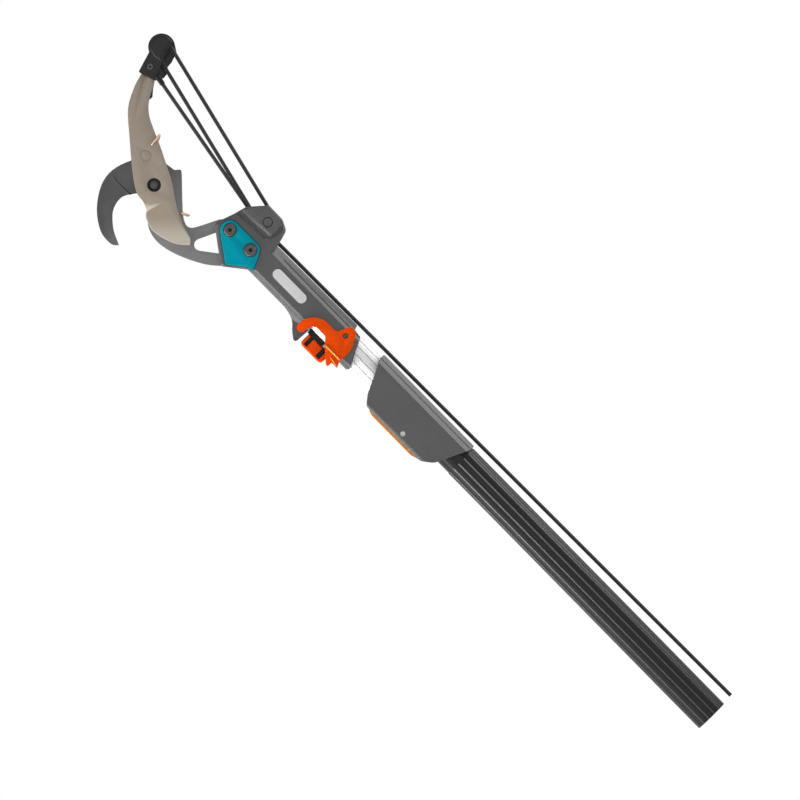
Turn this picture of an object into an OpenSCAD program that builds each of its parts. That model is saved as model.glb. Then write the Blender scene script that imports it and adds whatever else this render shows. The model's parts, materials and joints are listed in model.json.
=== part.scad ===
// Cord-operated tree pruner on a telescopic pole.
// Origin at the centre of the outer tube's lower end, Z along the pole, X to the cord side, -Y to the front.

/* [Pole] */
// Outer diameter of the outer tube
outer_d = 36; // [33:0.5:40]
// Wall of both tubes
tube_wall = 1.3; // [1:0.1:2]
// Gap between the tubes, on the radius
tube_gap = 0.5; // [0.4:0.1:1]
// Length of the outer tube
outer_len = 416; // [400:1:440]
// Height of the inner tube's lower end when pushed in
inner_low = 60; // [40:1:90]
// How far the inner tube reaches up into the head's socket
socket_depth = 87; // [80:1:95]
// Number of flutes along each tube
flute_count = 14; // [8:1:16]
// Width of a flute's round cutter
flute_d = 2; // [1.5:0.1:2.4]
// Depth of a flute
flute_depth = 0.55; // [0.3:0.05:0.7]

/* [Telescope clamp] */
// How far the clamp reaches down over the outer tube
clamp_grip = 50; // [46:1:60]
// Height of the clamp
clamp_h = 131; // [128:1:140]
// Wall of the clamp over the outer tube, front and back
clamp_wall = 4; // [3:0.5:6]
// Wall of the clamp on the cord side
clamp_side = 2.2; // [1.8:0.1:3.4]
// Width of the release lever across the clamp
release_w = 16; // [12:0.5:18]
// How far the release lever stands out of the clamp
release_proud = 2.6; // [1.5:0.1:4]
// Radius of the release lever's pin
release_pin_r = 2.8; // [2:0.1:3.2]

/* [Head] */
// Bare inner tube between the clamp and the head when pushed in
bare_gap = 14; // [12:1:30]
// Half the depth of the moulded head
head_half = 18.5; // [18:0.25:21]
// Thickness of the cutting plates
plate_t = 4; // [3:0.25:5]
// Gap between the two cutting plates
plate_gap = 0.3; // [0.2:0.05:0.5]
// Radius of the pivot bolt
pivot_r = 5; // [4:0.25:5.5]
// Radius of the pivot bolt's sunk head
pivot_head_r = 6.9; // [6.2:0.1:8]
// Thickness of the side plate
side_plate_t = 2; // [1.5:0.25:3]
// Radius of the side plate screws' heads
plate_screw_head_r = 6.4; // [5:0.1:7]
// Radius of the side plate screws
plate_screw_r = 3; // [2.5:0.1:3.5]
// Travel of the cutting lever in degrees
blade_travel = 62; // [45:1:64]

/* [Cord and sheaves] */
// Diameter of the cord
cord_d = 4; // [3:0.1:4.2]
// Radius from a sheave's axle to the middle of the cord
pitch_r = 8; // [7.4:0.1:8.4]
// Width of a sheave
sheave_w = 6.8; // [6.2:0.1:7.4]
// Height of a sheave's flanges over the middle of the cord
sheave_rim = 1.8; // [1.2:0.1:2.2]
// Radius of the sheave axles
axle_r = 3; // [2.5:0.1:3.4]

/* [Return spring] */
// Thickness of the spring wire
spring_wire = 2.8; // [2:0.1:3]
// Radius of the coil to the middle of the wire
spring_r = 9.5; // [9:0.1:11]
// Whole turns in the coil
spring_turns = 2; // [1:1:3]

/* [Quick lock] */
// Thickness of the lock lever's cheeks
lock_cheek_t = 2.2; // [1.8:0.1:3]
// Radius of the lock lever's pins
lock_pin_r = 2.6; // [2:0.1:3]
// Width of the latch across the pole
latch_w = 18; // [14:0.5:20]
// Radius of the latch's bolt
latch_bolt_r = 3; // [2.5:0.1:3.5]

/* [Fits] */
// Running clearance on the radius
run_gap = 0.05; // [0.03:0.01:0.08]
// Clearance on the radius of the sliding bushes
slide_gap = 0.1; // [0.06:0.01:0.12]
// Gap between pieces that move past each other
move_gap = 0.3; // [0.2:0.05:0.4]

/* [Hidden] */
$fn = 64;

// Heights of the clamp's and the head's lowest edges
clamp_z = outer_len - clamp_grip;
head_z = clamp_z + clamp_h + bare_gap;

// Tubes
outer_r = outer_d / 2;
outer_bore = outer_r - tube_wall;
inner_r = outer_bore - tube_gap;
inner_bore = inner_r - tube_wall;
inner_top = head_z + socket_depth;
glide_collar = 6;
glide_plug = 18;
// The outer tube is turned down a little where the clamp grips it
seat_step = 0.5;
seat_z = clamp_z - 1.5;

// Clamp
clamp_half = outer_r + clamp_wall;
clamp_right = outer_r + clamp_side;
clamp_left = -outer_r - 11.8;
release_at = [clamp_left + 6.8, clamp_z + 60];
release_low = -30;
release_high = 46;
release_out = clamp_left - release_proud - release_at.x;
shoe_low = 22;
shoe_high = 40;
shoe_back = 3;
slot_gap = 0.4;
bush_flange = 6;
bush_depth = 20;
wiper_z = clamp_z + 108.5;
wiper_h = 3;

// Planes across the pole
cheek_half = head_half + 0.1;
plate_face = -cheek_half - side_plate_t;
hook_front = -plate_t / 2;
hook_back = plate_t / 2;
lever_back = hook_front - plate_gap;
lever_front = lever_back - plate_t;
lever_mid = (lever_front + lever_back) / 2;

// Places in the head, as [x, z]
head = [0, head_z];
pivot = head + [-25.8, 273.7];
axle = head + [30.3, 165.1];
lever_sheave_at = pivot + [104.1, 94.9];
plate_screw_at = [head + [-2.9, 186.4], head + [-2.4, 157.1]];
lock_pin_at = head + [5.3, 26.9];
latch_at = head + [-18.6, 41.3];
anchor_top = lever_sheave_at + [-24, -17.8];
anchor_end = lever_sheave_at + [-25.9, -28.4];
head_screw_at = lever_sheave_at + [-22.4, -6.2];

// Sheaves and cord
cord_r = cord_d / 2;
root_r = pitch_r - cord_r - move_gap;
flange_r = pitch_r + sheave_rim;
sheave_y = sheave_w / 2 + 0.5;
chamber_half = sheave_y + sheave_w / 2 + move_gap;
chamber_r = flange_r + 1.2;
anchor_y = lever_front - 3.4;
lever_chamber_half = sheave_w / 2 + move_gap;
lever_head_half = lever_chamber_half + 5;
lever_chamber_r = flange_r + 0.8;

// Angles and tangent points of the tackle, angles from X towards Z
function angle_of(v) = atan2(v.y, v.x);
pair_dir = angle_of(lever_sheave_at - axle);
lead_span = anchor_end - axle;
lead_dir = angle_of(lead_span) - asin(pitch_r / norm(lead_span));
pull_dir = 180.6;
strand_gap = 0.1;
function around(c, r, a) = c + r * [cos(a), sin(a)];

// The hauling stretch hangs from the rear sheave beside the pole to the outer tube's lower end
pull_top = around(axle, pitch_r, pull_dir);
pull_y = sheave_y;
pull_guide = pull_top + [0.7, -36];
pull_end = [outer_r + 10.7, 1];
pull_steps = 14;
function pull_at(z) = pull_guide + (pull_end - pull_guide) * (pull_guide.y - z) / (pull_guide.y - pull_end.y);
PULL_ROUTE = [for (i = [0:pull_steps]) pull_at(pull_guide.y + (pull_end.y - pull_guide.y) * i / pull_steps)];

// Return spring
spring_y0 = hook_back + spring_wire / 2 + move_gap;
spring_pitch = spring_wire + 0.6;
spring_start = 195;
spring_sweep = spring_turns * 360 + 76;
spring_y1 = spring_y0 + spring_pitch * spring_sweep / 360;
nut_y = spring_y1 + spring_wire / 2 + move_gap;
washer_t = 1.6;
nut_t = 6;

// Points and curves

function unit(v) = v / norm(v);

// An arc of points round c
function arc(c, r, a0, a1, n = 8) = [for (i = [0:n]) around(c, r, a0 + (a1 - a0) * i / n)];

// A smooth curve through points, n steps for each span
function span(a, b, c, d, t) = 0.5 * (2 * b + (c - a) * t + (2 * a - 5 * b + 4 * c - d) * t * t
    + (3 * b - a - 3 * c + d) * t * t * t);
function curve(p, n = 4) = let (k = len(p) - 1) concat([for (i = [0:k - 1], j = [0:n - 1])
    span(p[max(i - 1, 0)], p[i], p[i + 1], p[min(i + 2, k)], j / n)], [p[k]]);

// An outline of [x, z, radius] corners with the corners rounded
function corner(a, b, c, n) = let (p = [b.x, b.y], u = unit([a.x, a.y] - p), v = unit([c.x, c.y] - p),
    half = acos(max(-1, min(1, u * v))) / 2, m = unit(u + v), o = p + m * b.z / sin(half),
    s = p + u * b.z / tan(half), e = p + v * b.z / tan(half), a0 = angle_of(s - o),
    turn = angle_of(e - o) - a0, sweep = turn > 180 ? turn - 360 : turn < -180 ? turn + 360 : turn)
    b.z <= 0 ? [p] : [for (i = [0:n]) around(o, b.z, a0 + sweep * i / n)];
function rounded(p, n = 4) = let (k = len(p)) [for (i = [0:k - 1])
    each corner(p[(i + k - 1) % k], p[i], p[(i + 1) % k], n)];

// A place in X and Z put at a depth
function in_space(c, y) = [c.x, y, c.y];

// Moves an outline by a place
function at(p, c) = [for (q = p) [q.x + c.x, q.y + c.y]];

// Turns an outline anticlockwise and draws it in by d
function twice_area(p) = let (k = len(p)) [for (i = [0:k - 1]) cross(p[i], p[(i + 1) % k])]
    * [for (i = [1:k]) 1];
function anticlockwise(p) = twice_area(p) > 0 ? p : [for (i = [len(p) - 1:-1:0]) p[i]];
function drawn_in(p, d) = let (k = len(p)) [for (i = [0:k - 1]) let (u = unit(p[i] - p[(i + k - 1) % k]),
    v = unit(p[(i + 1) % k] - p[i]), a = [-u.y, u.x], b = [-v.y, v.x]) p[i] + d * (a + b) / (1 + a * b)];

// Solids

// A plate of an outline in X and Z between two planes across the pole
module slab(outline, y0, y1) {
    translate([0, y1, 0])
        rotate([90, 0, 0])
            linear_extrude(y1 - y0)
                polygon(outline);
}

// A plate whose front and back edges are chamfered
module pad(outline, y0, y1, front, back) {
    p = anticlockwise(outline);
    k = len(p);
    layers = [[y0, front], [y0 + front, 0], [y1 - back, 0], [y1, back]];
    rings = [for (l = layers) if (l == layers[0] || l == layers[3] || l.x > y0 && l.x < y1) l];
    points = [for (l = rings) for (q = l.y > 0 ? drawn_in(p, l.y) : p) [q.x, l.x, q.y]];
    last = (len(rings) - 1) * k;
    sides = [for (r = [0:len(rings) - 2], i = [0:k - 1])
        [r * k + i, r * k + (i + 1) % k, (r + 1) * k + (i + 1) % k, (r + 1) * k + i]];
    polyhedron(points, concat([[for (i = [k - 1:-1:0]) i], [for (i = [0:k - 1]) last + i]], sides));
}

// A round bar across the pole at a place
module across(c, r, y0, y1) {
    translate([c.x, y1, c.y])
        rotate([90, 0, 0])
            cylinder(r = r, h = y1 - y0);
}

// A cone across the pole, r0 at y0 and r1 at y1
module cone_across(c, r0, r1, y0, y1) {
    translate([c.x, y1, c.y])
        rotate([90, 0, 0])
            cylinder(r1 = r1, r2 = r0, h = y1 - y0);
}

// A round cap across the pole, its base of radius r at y0 and its top towards the front
module dome_across(c, r, rise, y0) {
    ball = (r * r + rise * rise) / (2 * rise);
    intersection() {
        translate([c.x, y0 - rise + ball, c.y])
            sphere(r = ball);
        across(c, r + 1, y0 - rise - 1, y0);
    }
}

// A hexagonal bar across the pole
module hex_across(c, flats, y0, y1) {
    translate([c.x, y1, c.y])
        rotate([90, 0, 0])
            cylinder(r = flats / sqrt(3), h = y1 - y0, $fn = 6);
}

// A rod between two points in space
module rod(a, b, r0, r1) {
    d = b - a;
    translate(a)
        rotate([0, acos(d.z / norm(d)), atan2(d.y, d.x)])
            cylinder(r1 = r0, r2 = r1, h = norm(d));
}

// A tube swept along points, its rings carried on without twist
function tangents(p) = let (k = len(p) - 1) [for (i = [0:k]) unit(p[min(i + 1, k)] - p[max(i - 1, 0)])];
function normals(t) = [for (i = 0, n = unit(cross(t[0], abs(t[0].z) < 0.9 ? [0, 0, 1] : [1, 0, 0]));
    i < len(t); i = i + 1, n = i < len(t) ? unit(n - (n * t[i]) * t[i]) : n) n];
module swept(p, r, sides) {
    t = tangents(p);
    n = normals(t);
    k = len(p) - 1;
    points = [for (i = [0:k], j = [0:sides - 1]) let (a = 360 * j / sides)
        p[i] + r * (cos(a) * n[i] + sin(a) * cross(t[i], n[i]))];
    walls = [for (i = [0:k - 1], j = [0:sides - 1], h = [0, 1]) let (a = i * sides + j,
        b = i * sides + (j + 1) % sides) h == 0 ? [a, a + sides, b + sides] : [a, b + sides, b]];
    polyhedron(points, concat([[for (j = [0:sides - 1]) j]],
        [[for (j = [sides - 1:-1:0]) k * sides + j]], walls));
}

// A part of a ring of cord round an axle, from one angle to another
module wrap(c, y, a0, a1) {
    translate([c.x, y, c.y])
        rotate([90, 0, 0])
            rotate([0, 0, a0])
                rotate_extrude(angle = a1 - a0)
                    translate([pitch_r, 0])
                        circle(r = cord_r, $fn = 24);
}

// Tubes

// A fluted tube; the flutes lie at half steps or at whole steps from the front
module fluted_tube(r, bore, z0, z1, offset_step) {
    translate([0, 0, z0])
        linear_extrude(z1 - z0)
            difference() {
                circle(r = r);
                circle(r = bore);
                for (i = [0:flute_count - 1])
                    rotate(-90 + (i + offset_step) * 360 / flute_count)
                        translate([r + flute_d / 2 - flute_depth, 0])
                            circle(r = flute_d / 2, $fn = 24);
            }
}

module outer_tube() {
    color("#2a2a2b")
        difference() {
            fluted_tube(outer_r, outer_bore, 0, outer_len, 0.5);
            translate([0, 0, seat_z])
                difference() {
                    cylinder(r = outer_r + 1, h = outer_len);
                    translate([0, 0, -1])
                        cylinder(r = outer_r - seat_step, h = outer_len + 2);
                }
        }
}

module inner_tube() {
    color("#dfe1e2")
        difference() {
            fluted_tube(inner_r, inner_bore, inner_low, inner_top, 0);
            translate([-inner_r - 1, 0, latch_at.y])
                rotate([0, 90, 0])
                    cylinder(r = latch_bolt_r + move_gap, h = tube_wall + 3);
        }
}

module tube_glide() {
    color("#303234")
        difference() {
            union() {
                translate([0, 0, inner_low - glide_collar])
                    cylinder(r = outer_bore - slide_gap, h = glide_collar);
                translate([0, 0, inner_low])
                    cylinder(r = inner_bore, h = glide_plug);
            }
            translate([0, 0, inner_low - glide_collar - 1])
                cylinder(r = inner_bore - 2.5, h = glide_collar + glide_plug + 2);
        }
}

module guide_bush() {
    color("#303234")
        difference() {
            union() {
                translate([0, 0, outer_len])
                    cylinder(r = outer_r - 0.6, h = bush_flange);
                translate([0, 0, outer_len - bush_depth])
                    cylinder(r = outer_bore, h = bush_depth);
            }
            translate([0, 0, outer_len - bush_depth - 1])
                cylinder(r = inner_r + slide_gap, h = bush_depth + bush_flange + 2);
        }
}

// Telescope clamp

// Section of the clamp across the pole: a flat front and back, bevelled on the cord side
clamp_bevel = [clamp_right - 10.2, clamp_half - 11];
clamp_section = rounded([[clamp_left, -clamp_half, 3], [clamp_bevel.x, -clamp_half, 2],
    [clamp_right, -clamp_bevel.y, 2], [clamp_right, clamp_bevel.y, 2],
    [clamp_bevel.x, clamp_half, 2], [clamp_left, clamp_half, 3]]);
clamp_outline = at(rounded([[clamp_right, 0, 1.5], [clamp_right, clamp_h, 1.5], [15, clamp_h, 2],
    [-20, 114, 12], [clamp_left, 106, 6], [clamp_left, 28, 8], [-21, 16.5, 14], [15, -0.3, 2]]), [0, clamp_z]);
// The slot that the release lever rocks in
slot_low = release_at.y + release_low - 2;
slot_high = release_at.y + release_high + 1;
slot_in = -inner_r / 2;
release_slot = [[clamp_left - 10, slot_low], [slot_in, slot_low], [slot_in, slot_high], [clamp_left - 10, slot_high]];

module clamp_body() {
    crease = [clamp_bevel.x + 5.5, clamp_half - 5.5];
    color("#585859")
        difference() {
            intersection() {
                translate([0, 0, clamp_z - 5])
                    linear_extrude(clamp_h + 10)
                        polygon(clamp_section);
                slab(clamp_outline, -clamp_half - 1, clamp_half + 1);
            }
            translate([0, 0, clamp_z - 10])
                cylinder(r = outer_r - seat_step, h = outer_len - clamp_z + 10);
            translate([0, 0, outer_len - 1])
                cylinder(r = outer_r, h = bush_flange + 1 + move_gap);
            translate([0, 0, outer_len])
                cylinder(r = inner_r + 1.5, h = clamp_h);
            translate([0, 0, wiper_z])
                cylinder(r = inner_r + 3, h = wiper_h);
            slab(release_slot, -release_w / 2 - slot_gap, release_w / 2 + slot_gap);
            across(release_at, release_pin_r, -clamp_half - 1, clamp_half + 1);
            for (side = [-1, 1])
                translate([crease.x, side * crease.y, clamp_z - 5])
                    cylinder(r = 0.7, h = clamp_h + 10, $fn = 24);
        }
}

module wiper_ring() {
    color("#1d1d1e")
        difference() {
            translate([0, 0, wiper_z])
                cylinder(r = inner_r + 3, h = wiper_h);
            translate([0, 0, wiper_z - 1])
                cylinder(r = inner_r + slide_gap, h = wiper_h + 2);
        }
}

module release_pin() {
    color("#c9cacb")
        across(release_at, release_pin_r, -clamp_half, clamp_half);
}

module release_lever() {
    shape = rounded([[release_out, release_low + 9, 12], [release_out + 2.8, release_low, 1],
        [release_out + 8.5, release_low, 1.6], [release_out + 7, -9, 2], [4.6, -5, 2], [4.6, 5, 2],
        [-2.4, 10, 2], [-2.4, shoe_low - 3, 1.6], [shoe_back, shoe_low - 3, 1.6],
        [shoe_back, shoe_high + 2, 1.6], [-1, release_high - 1, 1.6], [release_out + 4.8, release_high - 0.6, 1],
        [release_out, release_high - 8.5, 12]]);
    color("#e8801c")
        difference() {
            slab(at(shape, release_at), -release_w / 2, release_w / 2);
            across(release_at, release_pin_r + run_gap, -release_w, release_w);
        }
}

module brake_shoe() {
    low = release_at.y + shoe_low;
    tall = shoe_high - shoe_low;
    color("#6f7174")
        difference() {
            translate([release_at.x + shoe_back, -release_w / 2 + 1, low])
                cube([-release_at.x - shoe_back - inner_r + 2.4, release_w - 2, tall]);
            translate([0, 0, low - 1])
                cylinder(r = inner_r + move_gap, h = tall + 2);
        }
}

// A closed coil pressed between the release lever's lower arm and the outer tube
module lock_spring() {
    wire = 0.9;
    coil = 2.6;
    turns = 3;
    z = release_at.y + release_low + 9;
    x0 = release_at.x + release_out + 8.2 + wire / 2 + move_gap;
    x1 = -outer_r - wire / 2 - move_gap;
    points = [for (i = [0:turns * 8]) let (s = i / (turns * 8), a = 360 * turns * s)
        [x0 + (x1 - x0) * s, coil * cos(a), z + coil * sin(a)]];
    echo(lock_spring_gap = (x1 - x0) / turns - wire);
    color("#b9bbbd")
        swept(points, wire / 2, 6);
}

// Head housing

neck_right = inner_r + 4.1;
neck_left = -inner_r - 1.9;
neck_section = rounded([[neck_left, -head_half + 7.5, 2], [neck_left + 5.6, -head_half, 2],
    [neck_right - 9.8, -head_half, 2], [neck_right, -head_half + 9.5, 2], [neck_right, head_half - 9.5, 2],
    [neck_right - 9.8, head_half, 2], [neck_left + 5.6, head_half, 2], [neck_left, head_half - 7.5, 2]]);
neck_outline = at(rounded([[neck_right, 146, 0], [neck_left, 146, 0], [neck_left, 2.8, 1],
    [neck_left + 2.8, -0.2, 1.5], [neck_right - 5.1, 15.2, 2], [neck_right - 3.5, 25, 1],
    [neck_right, 26.2, 2]]), head);
cheek_outline = at(rounded([[neck_right - 10.5, 131, 0], [neck_right - 9, 138.5, 5], [37.8, 146.2, 7],
    [42.9, 157, 8], [43.2, 176.5, 4], [25.5, 191.8, 6], [11, 195.6, 6], [-7.5, 202, 6], [-34.2, 165.5, 3.4],
    [neck_left - 0.2, 145.5, 12], [neck_left + 6.5, 131, 0]]), head);
boss_outline = at(rounded([[20.6, 152.2, 5], [35.6, 151.4, 9], [42, 160, 6], [42.5, 176.4, 3],
    [29.8, 187.4, 5], [18.8, 192.6, 1.5]]), head);
boss_rise = 1.8;
// A channel round the boss
channel_w = 2.8;
channel_depth = 1;
channel_outline = drawn_in(anticlockwise(boss_outline), -channel_w);
horn_outline = at(concat(curve([[neck_left + 0.4, 98], [neck_left - 0.8, 87], [-22.6, 76.5], [-29.6, 69],
    [-33.8, 63.6]]), arc([-32.8, 60.9], 2.4, 150, 260, 4), [[-12, 57.2], [-12, 98]]), head);
// The sheave axle's ends lie flush in counterbores of the boss
axle_head_r = 4.4;
axle_sink = 1.2;
horn_half = 11;
// The see-through notch that the latch works in
notch_low = 36;
notch_high = 57.2;
notch = at([[-40, notch_low], [-9.5, notch_low], [-9.5, notch_high], [-40, notch_high]], head);
// The open clevis over the two sheaves
clevis = at([[18.8, 165], [21, 196], [56, 196], [52, 160], [41, 160]], head);

side_plate_outline = let (a = plate_screw_at[0], b = plate_screw_at[1])
    concat(arc(a, 10, 0, 143, 10), [head + [-30.7, 164.7], head + [-22.1, 154.7], head + [-17.1, 147.6],
    head + [-14.6, 140.4]], arc(b, 9.5, -62, 0, 6));

module head_housing() {
    color("#5b5b5c")
        difference() {
            union() {
                difference() {
                    pad(cheek_outline, -cheek_half, cheek_half, 2.5, 2.5);
                    for (side = [-1, 1])
                        slab(channel_outline, side * cheek_half - channel_depth, side * cheek_half + channel_depth);
                }
                pad(boss_outline, -cheek_half - boss_rise, cheek_half + boss_rise, 0.8, 0.8);
                intersection() {
                    translate([0, 0, head_z - 5])
                        linear_extrude(160)
                            polygon(neck_section);
                    slab(neck_outline, -head_half - 1, head_half + 1);
                }
                slab(horn_outline, -horn_half, horn_half);
            }
            // Socket for the inner tube
            translate([0, 0, head_z - 5])
                cylinder(r = inner_r, h = socket_depth + 5);
            // Slot for the hook blade's tang
            hook_plate(0);
            // Sheave chamber, axle and cord ways
            across(axle, chamber_r, -chamber_half, chamber_half);
            slab(clevis, -chamber_half, chamber_half);
            across(axle, axle_r, -cheek_half - 3, cheek_half + 3);
            for (side = [-1, 1])
                across(axle, axle_head_r + 0.8, side * (cheek_half + boss_rise) - axle_sink,
                    side * (cheek_half + boss_rise) + axle_sink);
            rod([pull_top.x, pull_y, axle.y], in_space(pull_guide, pull_y), cord_r + 0.8, cord_r + 0.8);
            rod(in_space(pull_guide, pull_y), in_space(pull_at(head_z - 10), pull_y), cord_r + 0.8, cord_r + 0.8);
            // Holes of the side plate's screws and pockets of their nuts
            for (c = plate_screw_at) {
                across(c, plate_screw_r, -cheek_half - 1, cheek_half + 1);
                hex_across(c, 11, cheek_half - 5.4, cheek_half + 1);
            }
            // Latch notch, lock lever pins and edge grooves
            slab(notch, -head_half - 1, head_half + 1);
            across(lock_pin_at, lock_pin_r, -head_half - 1, head_half + 1);
            for (side = [-1, 1], x = [neck_left + 2.6, neck_right - 5.6])
                translate([x, side * (head_half - (x < 0 ? 3.6 : 4.1)), head_z - 1])
                    cylinder(r = 0.7, h = 127, $fn = 24);
        }
}

module side_plate() {
    color("#0093a5")
        difference() {
            pad(side_plate_outline, plate_face, -cheek_half, 0.4, 0);
            for (c = plate_screw_at)
                across(c, plate_screw_r, plate_face - 1, cheek_half);
        }
}

// Two button screws with a hexagon socket through the side plate, the head and the tang
module plate_screws() {
    color("#6b6765")
        for (c = plate_screw_at)
            difference() {
                union() {
                    across(c, plate_screw_r, plate_face, cheek_half - 0.6);
                    across(c, plate_screw_head_r, plate_face - 1.2, plate_face);
                    cone_across(c, plate_screw_head_r - 1, plate_screw_head_r, plate_face - 2.2, plate_face - 1.2);
                }
                hex_across(c, 4, plate_face - 3, plate_face + 0.8);
                difference() {
                    across(c, 4.4, plate_face - 3, plate_face - 1.7);
                    across(c, 3.6, plate_face - 4, plate_face - 1);
                }
            }
}

module plate_nuts() {
    color("#8d8e90")
        for (c = plate_screw_at)
            difference() {
                hex_across(c, 11, cheek_half - 5.4, cheek_half - 0.4);
                across(c, plate_screw_r, cheek_half - 6, cheek_half);
            }
}

module sheave_axle() {
    color("#55565a")
        union() {
            across(axle, axle_r, -cheek_half - boss_rise, cheek_half + boss_rise);
            across(axle, axle_head_r, -cheek_half - boss_rise, -cheek_half - boss_rise + axle_sink);
            across(axle, axle_head_r, cheek_half + boss_rise - axle_sink, cheek_half + boss_rise);
        }
}

// A grooved sheave about its own axis
module sheave(c, y) {
    translate([c.x, y, c.y])
        rotate([90, 0, 0])
            rotate_extrude()
                polygon(concat([[axle_r + run_gap, -sheave_w / 2], [flange_r, -sheave_w / 2],
                    [flange_r, -sheave_w / 2 + 0.7]],
                    [for (a = [-60:20:60]) [pitch_r - (cord_r + move_gap) * cos(a), (cord_r + move_gap) * sin(a)]],
                    [[flange_r, sheave_w / 2 - 0.7], [flange_r, sheave_w / 2], [axle_r + run_gap, sheave_w / 2]]));
}

module front_sheave() {
    color("#232425")
        sheave(axle, -sheave_y);
}

module rear_sheave() {
    color("#232425")
        sheave(axle, sheave_y);
}

// Hook blade

hook_outline = at(concat(
    curve([[-68.5, -18.5], [-73.5, -12], [-72, 4.5], [-59, 23.5], [-39, 37.5], [-20, 40.8], [0.5, 34.5],
        [14, 24], [24, 6.5]]),
    [[25.5, -3.5], [29.3, -6.7], [30.2, -7.9], [29.6, -9.6]],
    curve([[27.5, -12.2], [2.5, -39], [-4.5, -49.5], [-4.8, -55.5], [0.5, -60.6], [22.5, -71.4]], 3),
    [[30.8, -78], [30.8, -124.7], [12.8, -128]],
    curve([[-8, -108], [-19.2, -94.7], [-30, -74.7], [-37, -54.7], [-38, -38], [-33, -24.5], [-22, -13],
        [-18, -2], [-18.5, 6.3]]),
    curve([[-18.5, 6.3], [-29, 13.3], [-36, 14.5], [-43, 13.2], [-50, 9.5], [-57, 2.5], [-63, -6],
        [-68.5, -18.5]])), pivot);
window_outline = at(rounded([[-28.8, -61, 6], [13.3, -79.9, 1.5], [0.6, -99.1, 1.5]], 8), pivot);

// The fixed plate without its holes, grown across the pole by a clearance
module hook_plate(grow) {
    difference() {
        slab(hook_outline, hook_front - grow, hook_back + grow);
        slab(window_outline, hook_front - 1, hook_back + 1);
    }
}

module hook_blade() {
    relief = at([[-90, -40], [-24, -40], [-26, 26], [-23, 60], [-90, 60]], pivot);
    color("#505051")
        difference() {
            hook_plate(0);
            across(pivot, pivot_r, hook_front - 1, hook_back + 1);
            for (c = plate_screw_at)
                across(c, plate_screw_r, hook_front - 1, hook_back + 1);
            // The hook is ground a little thinner than the body
            intersection() {
                slab(relief, hook_front - 1, hook_front + 0.4);
                slab(at([[-90, 0], [-60, -30], [-19, 6], [-19, 60], [-90, 60]], pivot), hook_front - 2, hook_back);
            }
        }
}

// Cutting lever

lever_outline = at(concat(
    curve([[74, 74.5], [56, 64.5], [46.5, 54.5], [40.5, 43], [32.5, 24.5], [24, 7], [15.5, -10],
        [2.5, -29.5], [-7.5, -49.5], [-11, -63.5], [-17, -69.5]]),
    curve([[-17, -69.5], [-26, -59], [-31.5, -45], [-33.7, -31.5], [-29.5, -18], [-23.5, -13]]),
    curve([[-23.5, -13], [-20, -5], [-17.5, 8.5], [-4, 28], [16, 52], [36, 74.5], [56, 85.5], [69.5, 89.7]]),
    [[83, 93.3], [86.6, 82.1], [76, 77.5]]), pivot);
// The ground face: where it starts on the front, how it leans and how deep it gets at the edge
grind_top = pivot + [-4.2, -19.2];
grind_lean = 9.6;
grind_depth = 3.2;
grind_w = 26.5;
// The run-out at its top: how it leans and how steeply it climbs back to the front
runout_lean = 35.7;
runout_climb = 18;
recess = 2.4;

module blade_lever() {
    mark = pivot + [15.5, 27];
    color("#9b8c7e")
        difference() {
            slab(lever_outline, lever_front, lever_back);
            across(pivot, pivot_r + run_gap, lever_front - 1, lever_back + 1);
            across(pivot, pivot_head_r + 0.2, lever_front - 1, lever_front + recess);
            across(head_screw_at, 1.7, lever_front - 1, lever_back + 1);
            // A coined ring
            difference() {
                across(mark, 5.6, lever_front - 1, lever_front + 0.3);
                across(mark, 4.9, lever_front - 2, lever_front + 1);
            }
            // The bevel that leaves the cutting edge
            translate([grind_top.x, lever_front, grind_top.y])
                intersection() {
                    rotate([0, grind_lean, 0])
                        rotate([0, 0, -atan(grind_depth / grind_w)])
                            translate([-60, -20, -80])
                                cube([60, 20, 120]);
                    rotate([0, runout_lean, 0])
                        rotate([runout_climb - 90, 0, 0])
                            translate([-100, -100, -120])
                                cube([200, 200, 120]);
                }
        }
}

module pivot_bolt() {
    face = lever_front + recess - run_gap;
    color("#3a3b3d")
        union() {
            across(pivot, pivot_head_r, face - 1, face);
            across(pivot, pivot_r, face, nut_y + washer_t + nut_t + 1);
            across(pivot, spring_r - spring_wire / 2 - 1.2, hook_back, nut_y);
            dome_across(pivot, 4.8, 1.6, face - 0.6);
        }
}

module pivot_washer() {
    color("#8d8e90")
        difference() {
            across(pivot, spring_r + spring_wire / 2 + 1, nut_y, nut_y + washer_t);
            across(pivot, pivot_r, nut_y - 1, nut_y + washer_t + 1);
        }
}

module pivot_nut() {
    color("#8d8e90")
        difference() {
            hex_across(pivot, 15, nut_y + washer_t, nut_y + washer_t + nut_t);
            across(pivot, pivot_r, nut_y, nut_y + washer_t + nut_t + 1);
        }
}

// One wire from the fixed plate's right edge, round the pivot and out to the lever's right edge
spring_coil = [for (i = [0:round(spring_sweep / 45)]) let (a = spring_start - spring_sweep * i / round(spring_sweep / 45),
    q = around(pivot, spring_r, a)) [q.x, spring_y0 + spring_pitch * (spring_start - a) / 360, q.y]];
spring_low_tail = hook_front - spring_wire / 2 - run_gap;
spring_high_tail = lever_front - spring_wire / 2 - move_gap;
spring_route = let (p = [pivot.x, 0, pivot.y]) concat(
    [p + [-0.6, spring_low_tail, -40], p + [1.6, spring_low_tail, -43.5], p + [3.2, spring_low_tail + 1.6, -46],
        p + [3.4, 0.5, -46.4], p + [3, spring_y0 - 1.6, -46], p + [1.6, spring_y0, -43.5],
        p + [-4, spring_y0, -22]],
    spring_coil,
    [p + [20, spring_y1, 22.5], p + [33, spring_y1 - 2, 29.5], p + [38.5, spring_y1 - 5, 32],
        p + [39.5, 0, 32.3], p + [38.8, spring_high_tail + 1.2, 32.2], p + [36.5, spring_high_tail, 31.9],
        p + [27, spring_high_tail, 31]]);
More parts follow.
